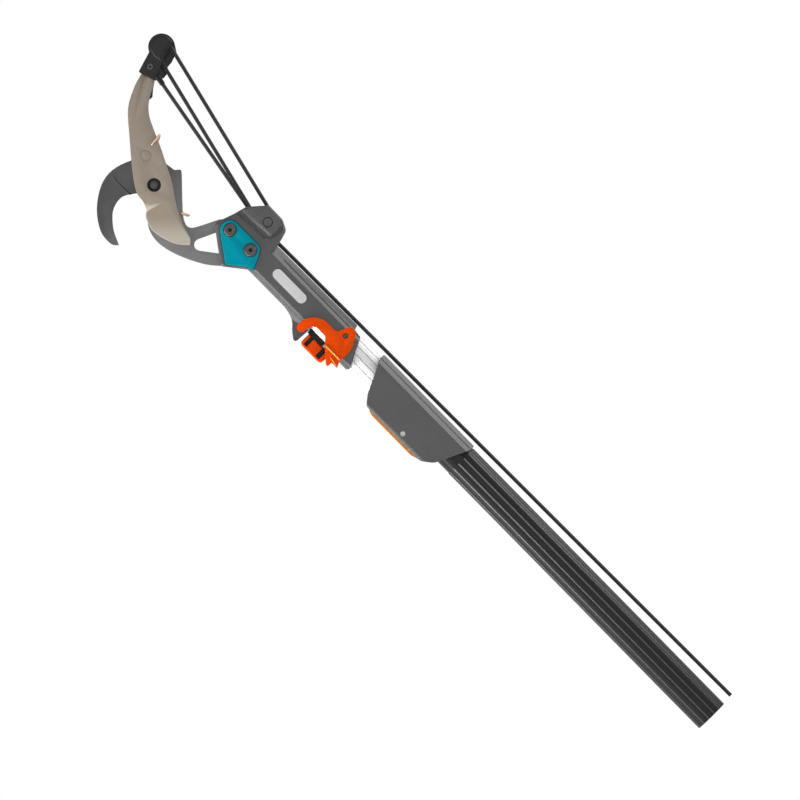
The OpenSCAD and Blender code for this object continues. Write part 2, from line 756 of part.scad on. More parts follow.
echo(spring_gap = spring_pitch - spring_wire);

module return_spring() {
    color("#c8a27f")
        swept(spring_route, spring_wire / 2, 6);
}

// Lever head

dome_r = lever_chamber_r + 3.1;
dome_rise = 1.5;
head_top = [[-34.7, -1.7, 1.5], [-13.3, 4.3, 3]];
front_outline = at(concat(arc([0, 0], dome_r, -21, 158, 14),
    [[-33.6, -1.4], [-34.4, -2.4], [-29.4, -18.9], [-28.2, -19.3], [-18.3, -15.3], [-11.2, -11.6], [-0.4, -7.2]]),
    lever_sheave_at);
dome_front = at(concat(arc([0, 0], dome_r - 1.8, -19, 152, 14), [[-12.2, -2], [-10.4, -10], [-0.6, -5.9]]),
    lever_sheave_at);
back_outline = at(concat(rounded([[-29, -19.6, 1.5], head_top[0], head_top[1], [-9.5, 8, 0], [-6, -4, 0],
    [-9.7, -18.6, 0], [-15.4, -23.2, 2], [-20.5, -24, 2]])), lever_sheave_at);
dome_back = at(concat(arc([0, 0], dome_r, -40, 158, 14), [[-16, -16], [-9.7, -18.6], [-4, -18.2],
    [3.1, -15.7], [7.4, -13.9]]), lever_sheave_at);
tail_outline = at(rounded([[-30, -20, 0], [-36.3, -24.3, 1], [-42.3, -29.6, 2], [-47, -29.6, 2],
    [-47.5, -26, 1], [-38.3, -14, 1], [-31, -8, 0]]), lever_sheave_at);
// The way out for the cord, under the sheave
mouth = at([[-10.7, 2], [-19.5, -30], [8, -30], [10.7, 2]], lever_sheave_at);
lever_head_front_y = lever_mid - lever_head_half;
lever_head_back_y = lever_mid + lever_head_half;

module lever_head_hollow() {
    across(lever_sheave_at, lever_chamber_r, lever_mid - lever_chamber_half, lever_mid + lever_chamber_half);
    slab(mouth, lever_mid - lever_chamber_half, lever_mid + lever_chamber_half);
    slab(lever_outline, lever_front, lever_back);
    across(head_screw_at, 1.5, lever_head_front_y - 1, lever_head_back_y + 1);
}

module lever_head_front() {
    color("#424243")
        difference() {
            union() {
                slab(front_outline, lever_head_front_y + dome_rise, lever_mid);
                slab(dome_front, lever_head_front_y, lever_mid);
            }
            lever_head_hollow();
            across(lever_sheave_at, axle_r, lever_head_front_y + 2.5, lever_mid + 1);
            across(head_screw_at, 3, lever_head_front_y - 1, lever_head_front_y + 2.7);
            // Hole for the cord's end
            rod([anchor_end.x, anchor_y, anchor_end.y], [anchor_top.x, anchor_y, anchor_top.y], 3.2, 3.2);
            across(anchor_top, 2.9, lever_head_front_y - 1, anchor_y - 1);
        }
}

module lever_head_back() {
    color("#3b3b3c")
        difference() {
            union() {
                pad(back_outline, lever_mid, lever_head_back_y - 1.5, 0, 1);
                pad(dome_back, lever_mid, lever_head_back_y, 0, 1.6);
                slab(tail_outline, lever_back, lever_back + 4);
            }
            lever_head_hollow();
            across(lever_sheave_at, axle_r, lever_mid - 1, lever_head_back_y + 1);
            hex_across(head_screw_at, 5.5, lever_head_back_y - 4, lever_head_back_y + 1);
        }
}

module head_screw() {
    color("#8c8378")
        difference() {
            union() {
                across(head_screw_at, 1.5, lever_head_front_y + 2.7, lever_head_back_y - 1.8);
                across(head_screw_at, 3, lever_head_front_y + 1.2, lever_head_front_y + 2.7);
            }
            hex_across(head_screw_at, 2.5, lever_head_front_y, lever_head_front_y + 2.2);
        }
}

module head_nut() {
    color("#8d8e90")
        difference() {
            hex_across(head_screw_at, 5.5, lever_head_back_y - 4, lever_head_back_y - 1.8);
            across(head_screw_at, 1.5, lever_head_back_y - 5, lever_head_back_y);
        }
}

module lever_axle() {
    color("#8d8e90")
        across(lever_sheave_at, axle_r, lever_head_front_y + 2.5, lever_head_back_y);
}

module lever_sheave() {
    color("#232425")
        sheave(lever_sheave_at, lever_mid);
}

// A tapered ferrule that grips the cord's dead end
module cord_anchor() {
    a = [anchor_end.x, anchor_y, anchor_end.y];
    b = [anchor_top.x, anchor_y, anchor_top.y];
    color("#262627")
        rod(a, b, 2.6, 3.2);
}

// Tackle

pair_low = [around(axle, pitch_r, pair_dir - 90), around(axle, pitch_r, pair_dir + 90)];
pair_high = [around(lever_sheave_at, pitch_r, pair_dir - 90), around(lever_sheave_at, pitch_r, pair_dir + 90)];
lead_low = around(axle, pitch_r, lead_dir + 90);

// A strand that stops just short of the stretches that it runs on into
module strand(a, b) {
    short = unit(b - a) * strand_gap;
    rod(a + short, b - short, cord_r, cord_r);
}

// The two strands between the sheaves of the housing and the sheave of the lever head
module tackle_pair() {
    color("#323233") {
        strand(in_space(pair_low[0], -sheave_y), in_space(pair_high[0], lever_mid));
        strand(in_space(pair_low[1], sheave_y), in_space(pair_high[1], lever_mid));
    }
}

// The strand from the ferrule down to the front sheave
module tackle_lead() {
    color("#323233")
        strand(in_space(lead_low, -sheave_y), in_space(anchor_end, anchor_y));
}

module housing_wraps() {
    color("#323233") {
        wrap(axle, -sheave_y, lead_dir + 90, pair_dir + 270);
        wrap(axle, sheave_y, pair_dir + 90, pull_dir - strand_gap / pitch_r * 180 / PI);
    }
}

module lever_wrap() {
    color("#323233")
        wrap(lever_sheave_at, lever_mid, pair_dir - 90, pair_dir + 90);
}

// The hauling stretch, a ring about every three diameters
pull_points = concat([[pull_top.x, pull_y, pull_top.y]], [for (q = PULL_ROUTE) [q.x, pull_y, q.y]]);
module pull_cord() {
    color("#323233")
        swept(curve(pull_points, 4), cord_r, 8);
}

// Quick lock

lock_y = head_half + move_gap;
lock_outer = lock_y + lock_cheek_t;
lock_outline = at(rounded([[11.6, 3, 5], [10.3, -5.2, 4], [-5, -14.4, 20], [-21.3, -14.4, 1], [-21.3, 8.6, 1],
    [-14.4, 14.3, 6], [-14.4, 32.6, 9], [-30.6, 33, 4.6], [-30.6, 42.6, 4.6], [-11, 42.3, 20],
    [-3.6, 26, 14], [-3.6, 9.3, 4]]), lock_pin_at);
// The thumb rest: its ends stand out of the cheeks' edges, and a notched bar joins them under the latch
thumb_end = at([[-20.9, 8.4], [-23.6, 6.1], [-34.6, -6.7], [-34.5, -9.1], [-29.2, -9.3], [-28.9, -16.9],
    [-22.7, -13.9], [-20.9, -13.9]], lock_pin_at);
thumb_bar = at([[-32.5, -4.2], [-34.6, -6.7], [-34.5, -9.1], [-29.2, -9.3], [-28.9, -11.5], [-27.6, -11.2],
    [-25.8, -4.2]], lock_pin_at);
thumb_inset = 0.3;

// One cheek of the lock lever with its end of the thumb rest
module lock_cheek(y0, y1) {
    slab(lock_outline, y0, y1);
    slab(thumb_end, y0 + thumb_inset, y1 - thumb_inset);
}

module lock_lever() {
    color("#eb4b05")
        difference() {
            union() {
                lock_cheek(-lock_outer, -lock_y);
                lock_cheek(lock_y, lock_outer);
                slab(thumb_bar, -lock_y - lock_cheek_t / 2, lock_y + lock_cheek_t / 2);
            }
            across(lock_pin_at, lock_pin_r + run_gap, -lock_outer - 1, lock_outer + 1);
        }
}

// Two stub pins that stop short of the inner tube
module lock_pins() {
    inner_end = inner_r + move_gap;
    outer_end = lock_outer + 0.4;
    color("#55565a") {
        across(lock_pin_at, lock_pin_r, -outer_end, -inner_end);
        across(lock_pin_at, lock_pin_r, inner_end, outer_end);
    }
}

// The latch: an orange button over a black slide, with a steel bolt into the inner tube
slide_back = neck_left - move_gap;
slide_face = slide_back - 1.4;
slot_out = slide_back - 12.3;
button_out = slot_out - 2.4;
button_low = head_z + 24.7;
button_high = head_z + 54.7;
slots = [[head_z + 29.2, head_z + 34.4], [head_z + 47, head_z + 51.5]];
saddle_low = head_z + notch_low + move_gap;
saddle_high = head_z + notch_high - move_gap;
slide_half = latch_w / 2 - 0.6;
bolt_start = slot_out + 4;
bolt_tip = 3.7 - inner_r;

module latch_hole() {
    translate([bolt_start, 0, latch_at.y])
        rotate([0, 90, 0])
            cylinder(r = latch_bolt_r, h = bolt_tip - bolt_start);
}

// The two openings in the button that the slide's fingers fill, up to a place x
module latch_fingers(half, x) {
    for (s = slots)
        slab([[slot_out, s.x], [x, s.x], [x, s.y], [slot_out, s.y]], -half, half);
}

module latch_button() {
    shape = rounded([[slide_face, button_low, 0], [slide_face, button_high, 0],
        [button_out, button_high, 4], [button_out, button_low, 4]]);
    color("#eb4b05")
        difference() {
            pad(shape, -latch_w / 2, latch_w / 2, 1, 1);
            latch_fingers(latch_w, slide_back);
            latch_hole();
        }
}

module latch_slide() {
    back = [[slide_face, slots[0].x], [slide_back, slots[0].x], [slide_back, saddle_low], [5 - inner_r, saddle_low],
        [2 - inner_r, saddle_high], [slide_face, saddle_high]];
    color("#202021")
        difference() {
            union() {
                latch_fingers(slide_half, slide_face + 0.5);
                slab(back, -slide_half, slide_half);
            }
            translate([0, 0, head_z])
                cylinder(r = inner_r + move_gap, h = socket_depth);
            latch_hole();
        }
}

module latch_bolt() {
    color("#b9bbbd")
        latch_hole();
}

outer_tube();
guide_bush();
clamp_body();
wiper_ring();
release_pin();
lock_spring();
release_lever();
brake_shoe();
inner_tube();
tube_glide();
head_housing();
side_plate();
hook_blade();
plate_screws();
plate_nuts();
sheave_axle();
front_sheave();
rear_sheave();
pivot_bolt();
pivot_washer();
pivot_nut();
return_spring();
lock_pins();
lock_lever();
latch_slide();
latch_button();
latch_bolt();
blade_lever();
lever_head_front();
lever_head_back();
head_screw();
head_nut();
lever_axle();
lever_sheave();
cord_anchor();
tackle_pair();
tackle_lead();
housing_wraps();
lever_wrap();
pull_cord();
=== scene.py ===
"""Looks of a cord-operated tree pruner on its telescopic pole, laid out as an add-on and run as a script."""

import json
import math

import bmesh
import bpy
from bpy.props import FloatProperty, FloatVectorProperty, IntProperty, PointerProperty
from mathutils import Matrix, Vector


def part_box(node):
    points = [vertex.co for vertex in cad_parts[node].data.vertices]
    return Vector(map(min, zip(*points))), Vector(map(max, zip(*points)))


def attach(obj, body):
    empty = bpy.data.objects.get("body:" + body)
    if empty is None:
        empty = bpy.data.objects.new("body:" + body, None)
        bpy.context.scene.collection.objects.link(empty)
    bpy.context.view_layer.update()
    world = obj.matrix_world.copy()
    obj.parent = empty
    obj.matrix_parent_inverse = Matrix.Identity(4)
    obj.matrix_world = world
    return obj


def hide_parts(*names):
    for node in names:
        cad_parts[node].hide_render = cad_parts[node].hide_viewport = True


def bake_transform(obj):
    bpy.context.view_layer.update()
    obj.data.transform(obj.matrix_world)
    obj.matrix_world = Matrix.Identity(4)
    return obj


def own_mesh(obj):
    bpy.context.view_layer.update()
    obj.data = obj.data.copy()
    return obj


bl_info = {
    "name": "Tree Pruner Pole",
    "version": (1, 0, 0),
    "blender": (4, 5, 0),
    "location": "View3D > Sidebar > Pruner",
    "description": "Dresses the pruner's solids with finishes, cords, a spring and a studio",
    "category": "Object",
}

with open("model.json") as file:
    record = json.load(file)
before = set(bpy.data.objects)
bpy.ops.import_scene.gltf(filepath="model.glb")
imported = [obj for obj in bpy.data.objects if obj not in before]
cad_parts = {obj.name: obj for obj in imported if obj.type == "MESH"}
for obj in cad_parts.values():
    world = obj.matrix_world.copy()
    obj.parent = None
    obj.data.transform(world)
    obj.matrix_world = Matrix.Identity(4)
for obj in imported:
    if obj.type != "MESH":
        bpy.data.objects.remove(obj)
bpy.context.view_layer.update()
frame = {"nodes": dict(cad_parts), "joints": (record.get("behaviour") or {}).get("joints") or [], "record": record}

# Points nearer than this are one point
MERGE = 2e-6
# Angles between faces: still flat, an edge to round, and folded over
FLAT = math.radians(0.6)
SHARP = math.radians(28)
FOLDED = math.radians(170)
# Shares of a face's normal along Y: looking to the front or the back, and a wall between them
FACING = 0.9
WALL = 0.5
# Depth of a screw's socket below its head, past which the socket's floor is painted black as shade, and the rim on
# a pin's end
SOCKET_DEEP = 0.0006
PIN_RIM = 0.0008
# Steps of a smooth route between two of its points
ROUTE_STEPS = 6

# Places in the shared frame, in metres
RECORD = frame["record"]
JOINTS = {joint["name"]: joint for joint in frame["joints"]}
PIVOT = Vector(JOINTS["blade_pivot"]["pos_m"])
AXLE = Vector(JOINTS["front_sheave_spin"]["pos_m"])
LEVER_SHEAVE = Vector(JOINTS["lever_sheave_spin"]["pos_m"])
BODY_OF = {node: body for body, nodes in RECORD["behaviour"]["bodies"].items() for node in nodes}

# The hauling stretch leaves the rear sheave, passes a guide in the head and runs to the pole's lower end
PULL_Y = 0.0039
PULL_TOP = Vector((0.0223, PULL_Y, 0.6760))
PULL_GUIDE = Vector((0.0230, PULL_Y, 0.6400))
PULL_END = Vector((0.0287, PULL_Y, 0.0010))
PULL_STEPS = 14
PULL_ROUTE = [PULL_TOP] + [PULL_GUIDE.lerp(PULL_END, step / PULL_STEPS) for step in range(PULL_STEPS + 1)]


# Settings

def metres(name, description, value):
    return FloatProperty(name=name, description=description, default=value, unit="LENGTH")


def colour(name, description, value):
    return FloatVectorProperty(
        name=name, description=description, default=value, subtype="COLOR", min=0, max=1)


class PrunerSizes(bpy.types.PropertyGroup):
    moulding_edge: metres("Moulding edge", "Rounding of the moulded pieces' edges", 0.0008)
    plate_edge: metres("Plate edge", "Rounding of the stamped plates' edges", 0.00035)
    hardware_edge: metres("Hardware edge", "Rounding of the screws, nuts and pins", 0.0002)
    cord_d: metres("Cord", "Diameter of the cord", 0.004)
    braid_pitch: metres("Braid pitch", "Length of one turn of the braid's strands", 0.011)
    pitch_r: metres("Cord on sheave", "Radius from a sheave's axle to the middle of the cord", 0.008)
    spring_wire: metres("Spring wire", "Thickness of the return spring's wire", 0.0028)
    spring_r: metres("Spring radius", "Radius of the spring's coil to the middle of the wire", 0.0095)
    view_width: metres("View width", "Width that the camera sees at the pole", 0.816)
    lens: FloatProperty(name="Lens", description="Focal length of the camera", default=500, unit="CAMERA")
    cord_sides: IntProperty(
        name="Cord sides", description="Faces round a cord or a wire", default=16, min=8, max=32)


class PrunerColours(bpy.types.PropertyGroup):
    grey: colour("Grey moulding", "Head and clamp", (0.078, 0.078, 0.079))
    block: colour("Dark moulding", "Sheave block on the lever", (0.014, 0.014, 0.014))
    # Also the black of the painted shadow round the side plate and its screws, and of the painted shade in screw
    # sockets, along the hook's crease and on the pivot bolt's flange
    black: colour("Black moulding", "Sheaves, bushes and latch slide", (0.012, 0.011, 0.011))
    orange: colour("Orange moulding", "Lock lever and latch button", (0.91, 0.075, 0.001))
    # Pale orange of the ribs along the lock lever's folds: a painted highlight
    fold: colour("Orange fold highlight", "Painted highlight on the lock lever's folds", (0.98, 0.55, 0.13))
    release: colour("Release lever", "Release lever of the clamp", (0.70, 0.24, 0.03))
    teal: colour("Teal plate", "Side plate", (0.0, 0.33, 0.425))
    hook: colour("Hook coating", "Coating of the hook", (0.031, 0.031, 0.031))
    body: colour("Body coating", "Coating of the fixed plate under the lever", (0.165, 0.165, 0.165))
    lever: colour("Lever coating", "Coating of the cutting lever", (0.272, 0.221, 0.170))
    ground: colour("Ground face", "Ground face of the blade", (0.45, 0.42, 0.345))
    rim: colour("Honed rim", "Rim along the cutting edge", (0.50, 0.44, 0.37))
    copper: colour("Spring wire", "Wire of the return spring", (0.66, 0.46, 0.31))
    black_tube: colour("Outer tube", "Anodised outer tube", (0.019, 0.019, 0.0194))
    # A painted highlight in the outer tube's grooves
    flute_painted_light: colour("Flutes", "Flutes of the outer tube", (0.26, 0.26, 0.26))
    bare_tube: colour("Inner tube", "Bare inner tube", (0.92, 0.925, 0.93))
    # A painted shade in the inner tube's grooves
    inner_flute_shade: colour("Inner flutes", "Flutes of the inner tube", (0.57, 0.57, 0.575))
    steel: colour("Steel", "Nuts, washers and light pins", (0.30, 0.285, 0.27))
    screw: colour("Screw steel", "Screws, plate nuts and sheave axle", (0.075, 0.073, 0.071))
    dark_steel: colour("Dark steel", "Pivot bolt, lock pins and latch bolt", (0.05, 0.05, 0.052))
    cord: colour("Cord", "Braided cord", (0.017, 0.017, 0.0175))
    label: colour("Label", "Bare plate on the neck", (0.70, 0.70, 0.695))


# Finishes

class Nodes:
    """A material's or a world's nodes, made with short calls."""

    def __init__(self, owner):
        owner.use_nodes = True
        self.nodes = owner.node_tree.nodes
        self.links = owner.node_tree.links

    def add(self, kind, **inputs):
        node = self.nodes.new(kind)
        for name, value in inputs.items():
            self.put(node.inputs[name], value)
        return node

    def put(self, socket, value):
        if isinstance(value, bpy.types.NodeSocket):
            self.links.new(value, socket)
        else:
            socket.default_value = value

    def place(self, stretch=(1, 1, 1), turn=(0, 0, 0)):
        """Object coordinates, stretched and turned."""
        place = self.add("ShaderNodeTexCoord").outputs["Object"]
        mapping = self.add("ShaderNodeMapping", Vector=place, Scale=stretch, Rotation=turn)
        return mapping.outputs["Vector"]

    def along(self, direction):
        """How far a point lies along a direction, in metres."""
        node = self.add("ShaderNodeVectorMath")
        node.operation = "DOT_PRODUCT"
        self.put(node.inputs[0], self.add("ShaderNodeTexCoord").outputs["Object"])
        node.inputs[1].default_value = direction
        return node.outputs["Value"]

    def noise(self, place, scale, detail=3.0, roughness=0.5):
        node = self.add("ShaderNodeTexNoise", Vector=place, Scale=scale, Detail=detail, Roughness=roughness)
        return node.outputs["Fac"]

    def math(self, operation, a, b=0.0):
        node = self.add("ShaderNodeMath")
        node.operation = operation
        self.put(node.inputs[0], a)
        self.put(node.inputs[1], b)
        return node.outputs[0]

    def spread(self, value, low, high, to_low=0.0, to_high=1.0):
        """A value mapped smoothly from one range to another."""
        node = self.add("ShaderNodeMapRange", Value=value)
        node.interpolation_type = "SMOOTHSTEP"
        for name, number in (("From Min", low), ("From Max", high), ("To Min", to_low), ("To Max", to_high)):
            node.inputs[name].default_value = number
        return node.outputs["Result"]


class Finish(Nodes):
    """A material and its shader."""

    edge_samples = 8

    def __init__(self, name, roughness, metallic=0.0, specular=0.5):
        self.material = bpy.data.materials.new(name)
        super().__init__(self.material)
        self.shader = self.nodes["Principled BSDF"]
        self.shader.inputs["Roughness"].default_value = roughness
        self.shader.inputs["Metallic"].default_value = metallic
        self.shader.inputs["Specular IOR Level"].default_value = specular

    def mix(self, factor, first, second):
        node = self.add("ShaderNodeMix")
        node.data_type = "RGBA"
        for socket, value in ((node.inputs[0], factor), (node.inputs[6], first), (node.inputs[7], second)):
            self.put(socket, value)
        return node.outputs[2]

    def colour(self, value):
        self.put(self.shader.inputs["Base Color"], value)

    def rough(self, value):
        self.put(self.shader.inputs["Roughness"], value)

    def bump(self, height, depth, edge=0.0):
        """Relief on the surface, and edges that read as rounded by a radius."""
        node = self.add("ShaderNodeBump", Height=height, Distance=depth)
        if edge:
            rounding = self.add("ShaderNodeBevel", Radius=edge)
            rounding.samples = self.edge_samples
            self.put(node.inputs["Normal"], rounding.outputs["Normal"])
        self.put(self.shader.inputs["Normal"], node.outputs["Normal"])


def shade(value, factor):
    """A colour with its light scaled, for a socket."""
    return (*[min(1.0, channel * factor) for channel in value], 1.0)


def moulded(name, value, roughness=0.46, grain=2600.0, depth=0.000006, specular=0.4, edge=0.0):
    """Injection moulded plastic with a fine grain and a slight flow in its colour."""
    finish = Finish(name, roughness, specular=specular)
    flow = finish.noise(finish.place((1, 1, 0.5)), scale=45.0, detail=4.0)
    grain = finish.noise(finish.place(), scale=grain, detail=2.0)
    finish.colour(finish.mix(finish.spread(flow, 0.3, 0.7), shade(value, 0.93), shade(value, 1.06)))
    finish.rough(finish.spread(grain, 0.3, 0.7, roughness - 0.015, roughness + 0.02))
    finish.bump(grain, depth, edge)
    return finish.material


def coated(name, low, high, z_low, z_high, roughness=0.38):
    """Stamped steel under a thin coating whose tone drifts along the pole, with faint rolling marks."""
    finish = Finish(name, roughness, specular=0.55)
    place = finish.place()
    split = finish.add("ShaderNodeSeparateXYZ", Vector=place)
    drift = finish.spread(split.outputs["Z"], z_low, z_high)
    mottle = finish.noise(place, scale=160.0, detail=5.0, roughness=0.6)
    rolling = finish.noise(finish.place((1, 1, 0.06), (0, math.radians(35), 0)), scale=900.0, detail=2.0)
    tone = finish.mix(drift, shade(low, 1.0), shade(high, 1.0))
    worn = finish.mix(drift, shade(low, 1.03), shade(high, 1.03))
    finish.colour(finish.mix(finish.spread(mottle, 0.35, 0.75), tone, worn))
    finish.rough(finish.spread(rolling, 0.3, 0.7, roughness - 0.02, roughness + 0.03))
    grain = finish.noise(place, scale=2200.0, detail=2.0)
    finish.bump(finish.math("ADD", grain, rolling), 0.000003)
    return finish.material


def ground(name, high, low, direction, first, last):
    """A ground face with fine wheel marks, its tone going from high to low along a direction."""
    finish = Finish(name, 0.4, metallic=0.1, specular=0.35)
    drift = finish.spread(finish.along(direction), first, last)
    place = finish.place((0.05, 1, 1), (0, math.radians(-10), 0))
    marks = finish.noise(place, scale=3200.0, roughness=0.65)
    dull = finish.mix(drift, shade(high, 0.98), shade(low, 0.98))
    bright = finish.mix(drift, shade(high, 1.02), shade(low, 1.02))
    finish.colour(finish.mix(finish.spread(marks, 0.3, 0.7), dull, bright))
    finish.rough(finish.spread(marks, 0.25, 0.75, 0.36, 0.44))
    finish.bump(marks, 0.000002)
    return finish.material


def drawn(name, value, roughness, streak, specular, flute_painted_light, fade=None):
    """Extruded tube with drawing lines and broader bands along it.

    The flute setting gives a tone painted into the flute floors, a painted highlight on the outer tube and a
    painted shade on the inner, and the radii of their floor and their land. fade gives two heights, the shares of
    that tone there, and the height where it stops.
    """
    finish = Finish(name, roughness, specular=specular)
    lines = finish.noise(finish.place((1, 1, 0.004)), scale=1500.0, detail=2.0)
    bands = finish.noise(finish.place((1, 1, 0.001)), scale=260.0, detail=2.0)
    dull = shade(value, 1.0 - streak)
    tone = finish.mix(finish.spread(bands, 0.35, 0.65), dull, shade(value, 1.0 + streak))
    tone = finish.mix(finish.spread(lines, 0.35, 0.7, 0.0, 0.3), tone, dull)
    painted_flute_light, floor, land = flute_painted_light
    reach = finish.add("ShaderNodeVectorMath")
    reach.operation = "LENGTH"
    finish.put(reach.inputs[0], finish.place((1, 1, 0)))
    depth = finish.spread(reach.outputs["Value"], floor, land, 1.0, 0.0)
    if fade:
        *growth, top = fade
        height = finish.along((0, 0, 1))
        below = finish.math("LESS_THAN", height, top)
        share = finish.math("MULTIPLY", finish.spread(height, *growth), below)
        depth = finish.math("MULTIPLY", depth, share)
    # The flute floors take the painted tone: a highlight on the outer tube, a shade on the inner
    tone = finish.mix(depth, tone, shade(painted_flute_light, 1.0))
    finish.colour(tone)
    finish.rough(finish.spread(lines, 0.3, 0.7, roughness - 0.02, roughness + 0.03))
    finish.bump(lines, 0.000001)
    return finish.material


def plated(name, value, roughness=0.32, metallic=0.85):
    """Turned and plated steel with faint tool marks."""
    finish = Finish(name, roughness, metallic=metallic)
    marks = finish.noise(finish.place((1, 0.08, 1)), scale=2800.0, roughness=0.6)
    spots = finish.noise(finish.place(), scale=500.0, detail=4.0, roughness=0.6)
    tone = finish.mix(finish.spread(marks, 0.3, 0.7), shade(value, 0.88), shade(value, 1.1))
    finish.colour(finish.mix(finish.spread(spots, 0.5, 0.8, 0.0, 0.4), tone, shade(value, 0.7)))
    finish.rough(finish.spread(spots, 0.3, 0.7, roughness - 0.06, roughness + 0.12))
    finish.bump(marks, 0.00001)
    return finish.material


def braided(name, value, strands=6):
    """A round braid: two sets of strands that cross, drawn along the cord's own UV map."""
    finish = Finish(name, 0.72, specular=0.35)
    finish.shader.inputs["Sheen Weight"].default_value = 0.25
    finish.shader.inputs["Sheen Roughness"].default_value = 0.5
    uv = finish.add("ShaderNodeUVMap")
    split = finish.add("ShaderNodeSeparateXYZ", Vector=uv.outputs["UV"])
    across = finish.math("MULTIPLY", split.outputs["X"], float(strands))
    along = finish.math("MULTIPLY", split.outputs["Y"], float(strands))
    waves = []
    for operation in ("ADD", "SUBTRACT"):
        phase = finish.math("MULTIPLY", finish.math(operation, across, along), math.tau)
        waves.append(finish.math("SINE", phase))
    weave = finish.math("MAXIMUM", waves[0], waves[1])
    fuzz = finish.noise(finish.place(), scale=4200.0)
    finish.colour(finish.mix(finish.spread(weave, -0.3, 1.0), shade(value, 0.35), shade(value, 1.5)))
    finish.bump(finish.math("ADD", weave, finish.math("MULTIPLY", fuzz, 0.5)), 0.00014)
    return finish.material


def wire(name, value):
    """Drawn spring wire with lines along it, read from its UV map."""
    finish = Finish(name, 0.3, metallic=0.7)
    uv = finish.add("ShaderNodeUVMap")
    mapping = finish.add("ShaderNodeMapping", Vector=uv.outputs["UV"], Scale=(40, 0.6, 1))
    lines = finish.noise(mapping.outputs["Vector"], scale=1.0, roughness=0.6)
    blush = finish.noise(finish.place(), scale=220.0)
    tone = finish.mix(finish.spread(lines, 0.3, 0.7), shade(value, 0.85), shade(value, 1.12))
    finish.colour(finish.mix(finish.spread(blush, 0.4, 0.7, 0.0, 0.5), tone, shade(value, 0.78)))
    finish.rough(finish.spread(lines, 0.3, 0.7, 0.26, 0.4))
    finish.bump(lines, 0.00001)
    return finish.material


# Pieces

def link(piece):
    bpy.context.scene.collection.objects.link(piece)
    return piece


def new_piece(name, shape, *materials):
    """Links a new object with a bmesh's shape."""
    mesh = bpy.data.meshes.new(name)
    shape.to_mesh(mesh)
    shape.free()
    for material in materials:
        mesh.materials.append(material)
    return link(bpy.data.objects.new(name, mesh))


def stand_for(piece, node, rides=True):
    """Stands a piece for a CAD node, and seats it on the node's body."""
    if rides:
        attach(piece, BODY_OF[node])
    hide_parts(node)
    return piece


def seat_trim(piece, node):
    """Seats a thin form of the scene's own on a CAD node's body."""
    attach(piece, BODY_OF[node])


def merged_copy(node):
    """A bmesh of a CAD node with its triangles joined."""
    shape = bmesh.new()
    shape.from_mesh(frame["nodes"][node].data)
    bmesh.ops.remove_doubles(shape, verts=shape.verts, dist=MERGE)
    return shape


def refill_sides(shape):
    """Fills the flat sides square to Y anew where their triangles fold over each other."""
    shape.normal_update()
    folds = [edge for edge in shape.edges if edge.calc_face_angle(0) > FOLDED]
    for side in sorted({round(edge.verts[0].co.y, 6) for edge in folds}):
        faces = [face for face in shape.faces if all(abs(vert.co.y - side) < MERGE for vert in face.verts)]
        inside = set(faces)
        rim = [edge for edge in shape.edges if len(inside.intersection(edge.link_faces)) == 1]
        bmesh.ops.delete(shape, geom=faces, context="FACES")
        bmesh.ops.triangle_fill(shape, use_beauty=True, edges=rim, normal=(0, side, 0))
    if folds:
        bmesh.ops.recalc_face_normals(shape, faces=shape.faces)


def whole_copy(node):
    """A joined copy whose flat faces are made whole."""
    shape = merged_copy(node)
    bmesh.ops.dissolve_limit(shape, angle_limit=FLAT, verts=shape.verts, edges=shape.edges)
    return shape


def rounded_node(node, edge, materials, choose=None, detail=None, segments=3):
    """Stands a copy with rounded edges for a CAD node.

    choose gives a face's place in the materials, and detail adds a form to the shape.
    """
    shape = whole_copy(node)
    if choose:
        for face in shape.faces:
            face.material_index = choose(face)
    if detail:
        detail(shape)
    piece = new_piece(node + "_dressed", shape, *materials)
    piece.data.shade_smooth()
    bevel = piece.modifiers.new("Rounded edges", "BEVEL")
    bevel.limit_method = "ANGLE"
    bevel.angle_limit = SHARP
    bevel.width = edge
    bevel.segments = segments
    bevel.profile = 0.5
    bevel.harden_normals = True
    return stand_for(piece, node)


def plain_node(node, material, detail=None):
    """Stands a joined and smoothly shaded copy for a CAD node whose chamfers are in its solid."""
    shape = merged_copy(node)
    refill_sides(shape)
    if detail:
        detail(shape)
    piece = new_piece(node + "_dressed", shape, material)
    piece.data.shade_smooth()
    piece.data.set_sharp_from_angle(angle=SHARP)
    weighted = piece.modifiers.new("Face weighted shading", "WEIGHTED_NORMAL")
    weighted.keep_sharp = True
    return stand_for(piece, node)


def socket_shade_of(node):
    """Chooses the second finish, black, for the floor of a screw's socket: painted shade in the recess."""
    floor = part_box(node)[0].y + SOCKET_DEEP

    def choose(face):
        return 1 if -face.normal.y > FACING and face.calc_center_median().y > floor else 0

    return choose


def ringed_ends(shape):
    """Gives the second finish to a rim round the flat ends of pins."""
    ends = [face for face in shape.faces if abs(face.normal.y) > FACING]
    for face in bmesh.ops.inset_individual(shape, faces=ends, thickness=PIN_RIM)["faces"]:
        face.material_index = 1


def finish_node(node, material):
    """Gives a CAD node that is right as it is a better material."""
    mesh = frame["nodes"][node].data
    mesh.materials.clear()
    mesh.materials.append(material)


def smooth_route(points, steps):
    """A smooth curve through points."""
    route = []
    last = len(points) - 1
    for index in range(last):
        a, b = points[max(index - 1, 0)], points[index]
        c, d = points[index + 1], points[min(index + 2, last)]
        for step in range(steps):
            t = step / steps
            route.append(0.5 * (2 * b + (c - a) * t + (2 * a - 5 * b + 4 * c - d) * t ** 2
                                + (3 * b - a - 3 * c + d) * t ** 3))
    return route + [points[last]]


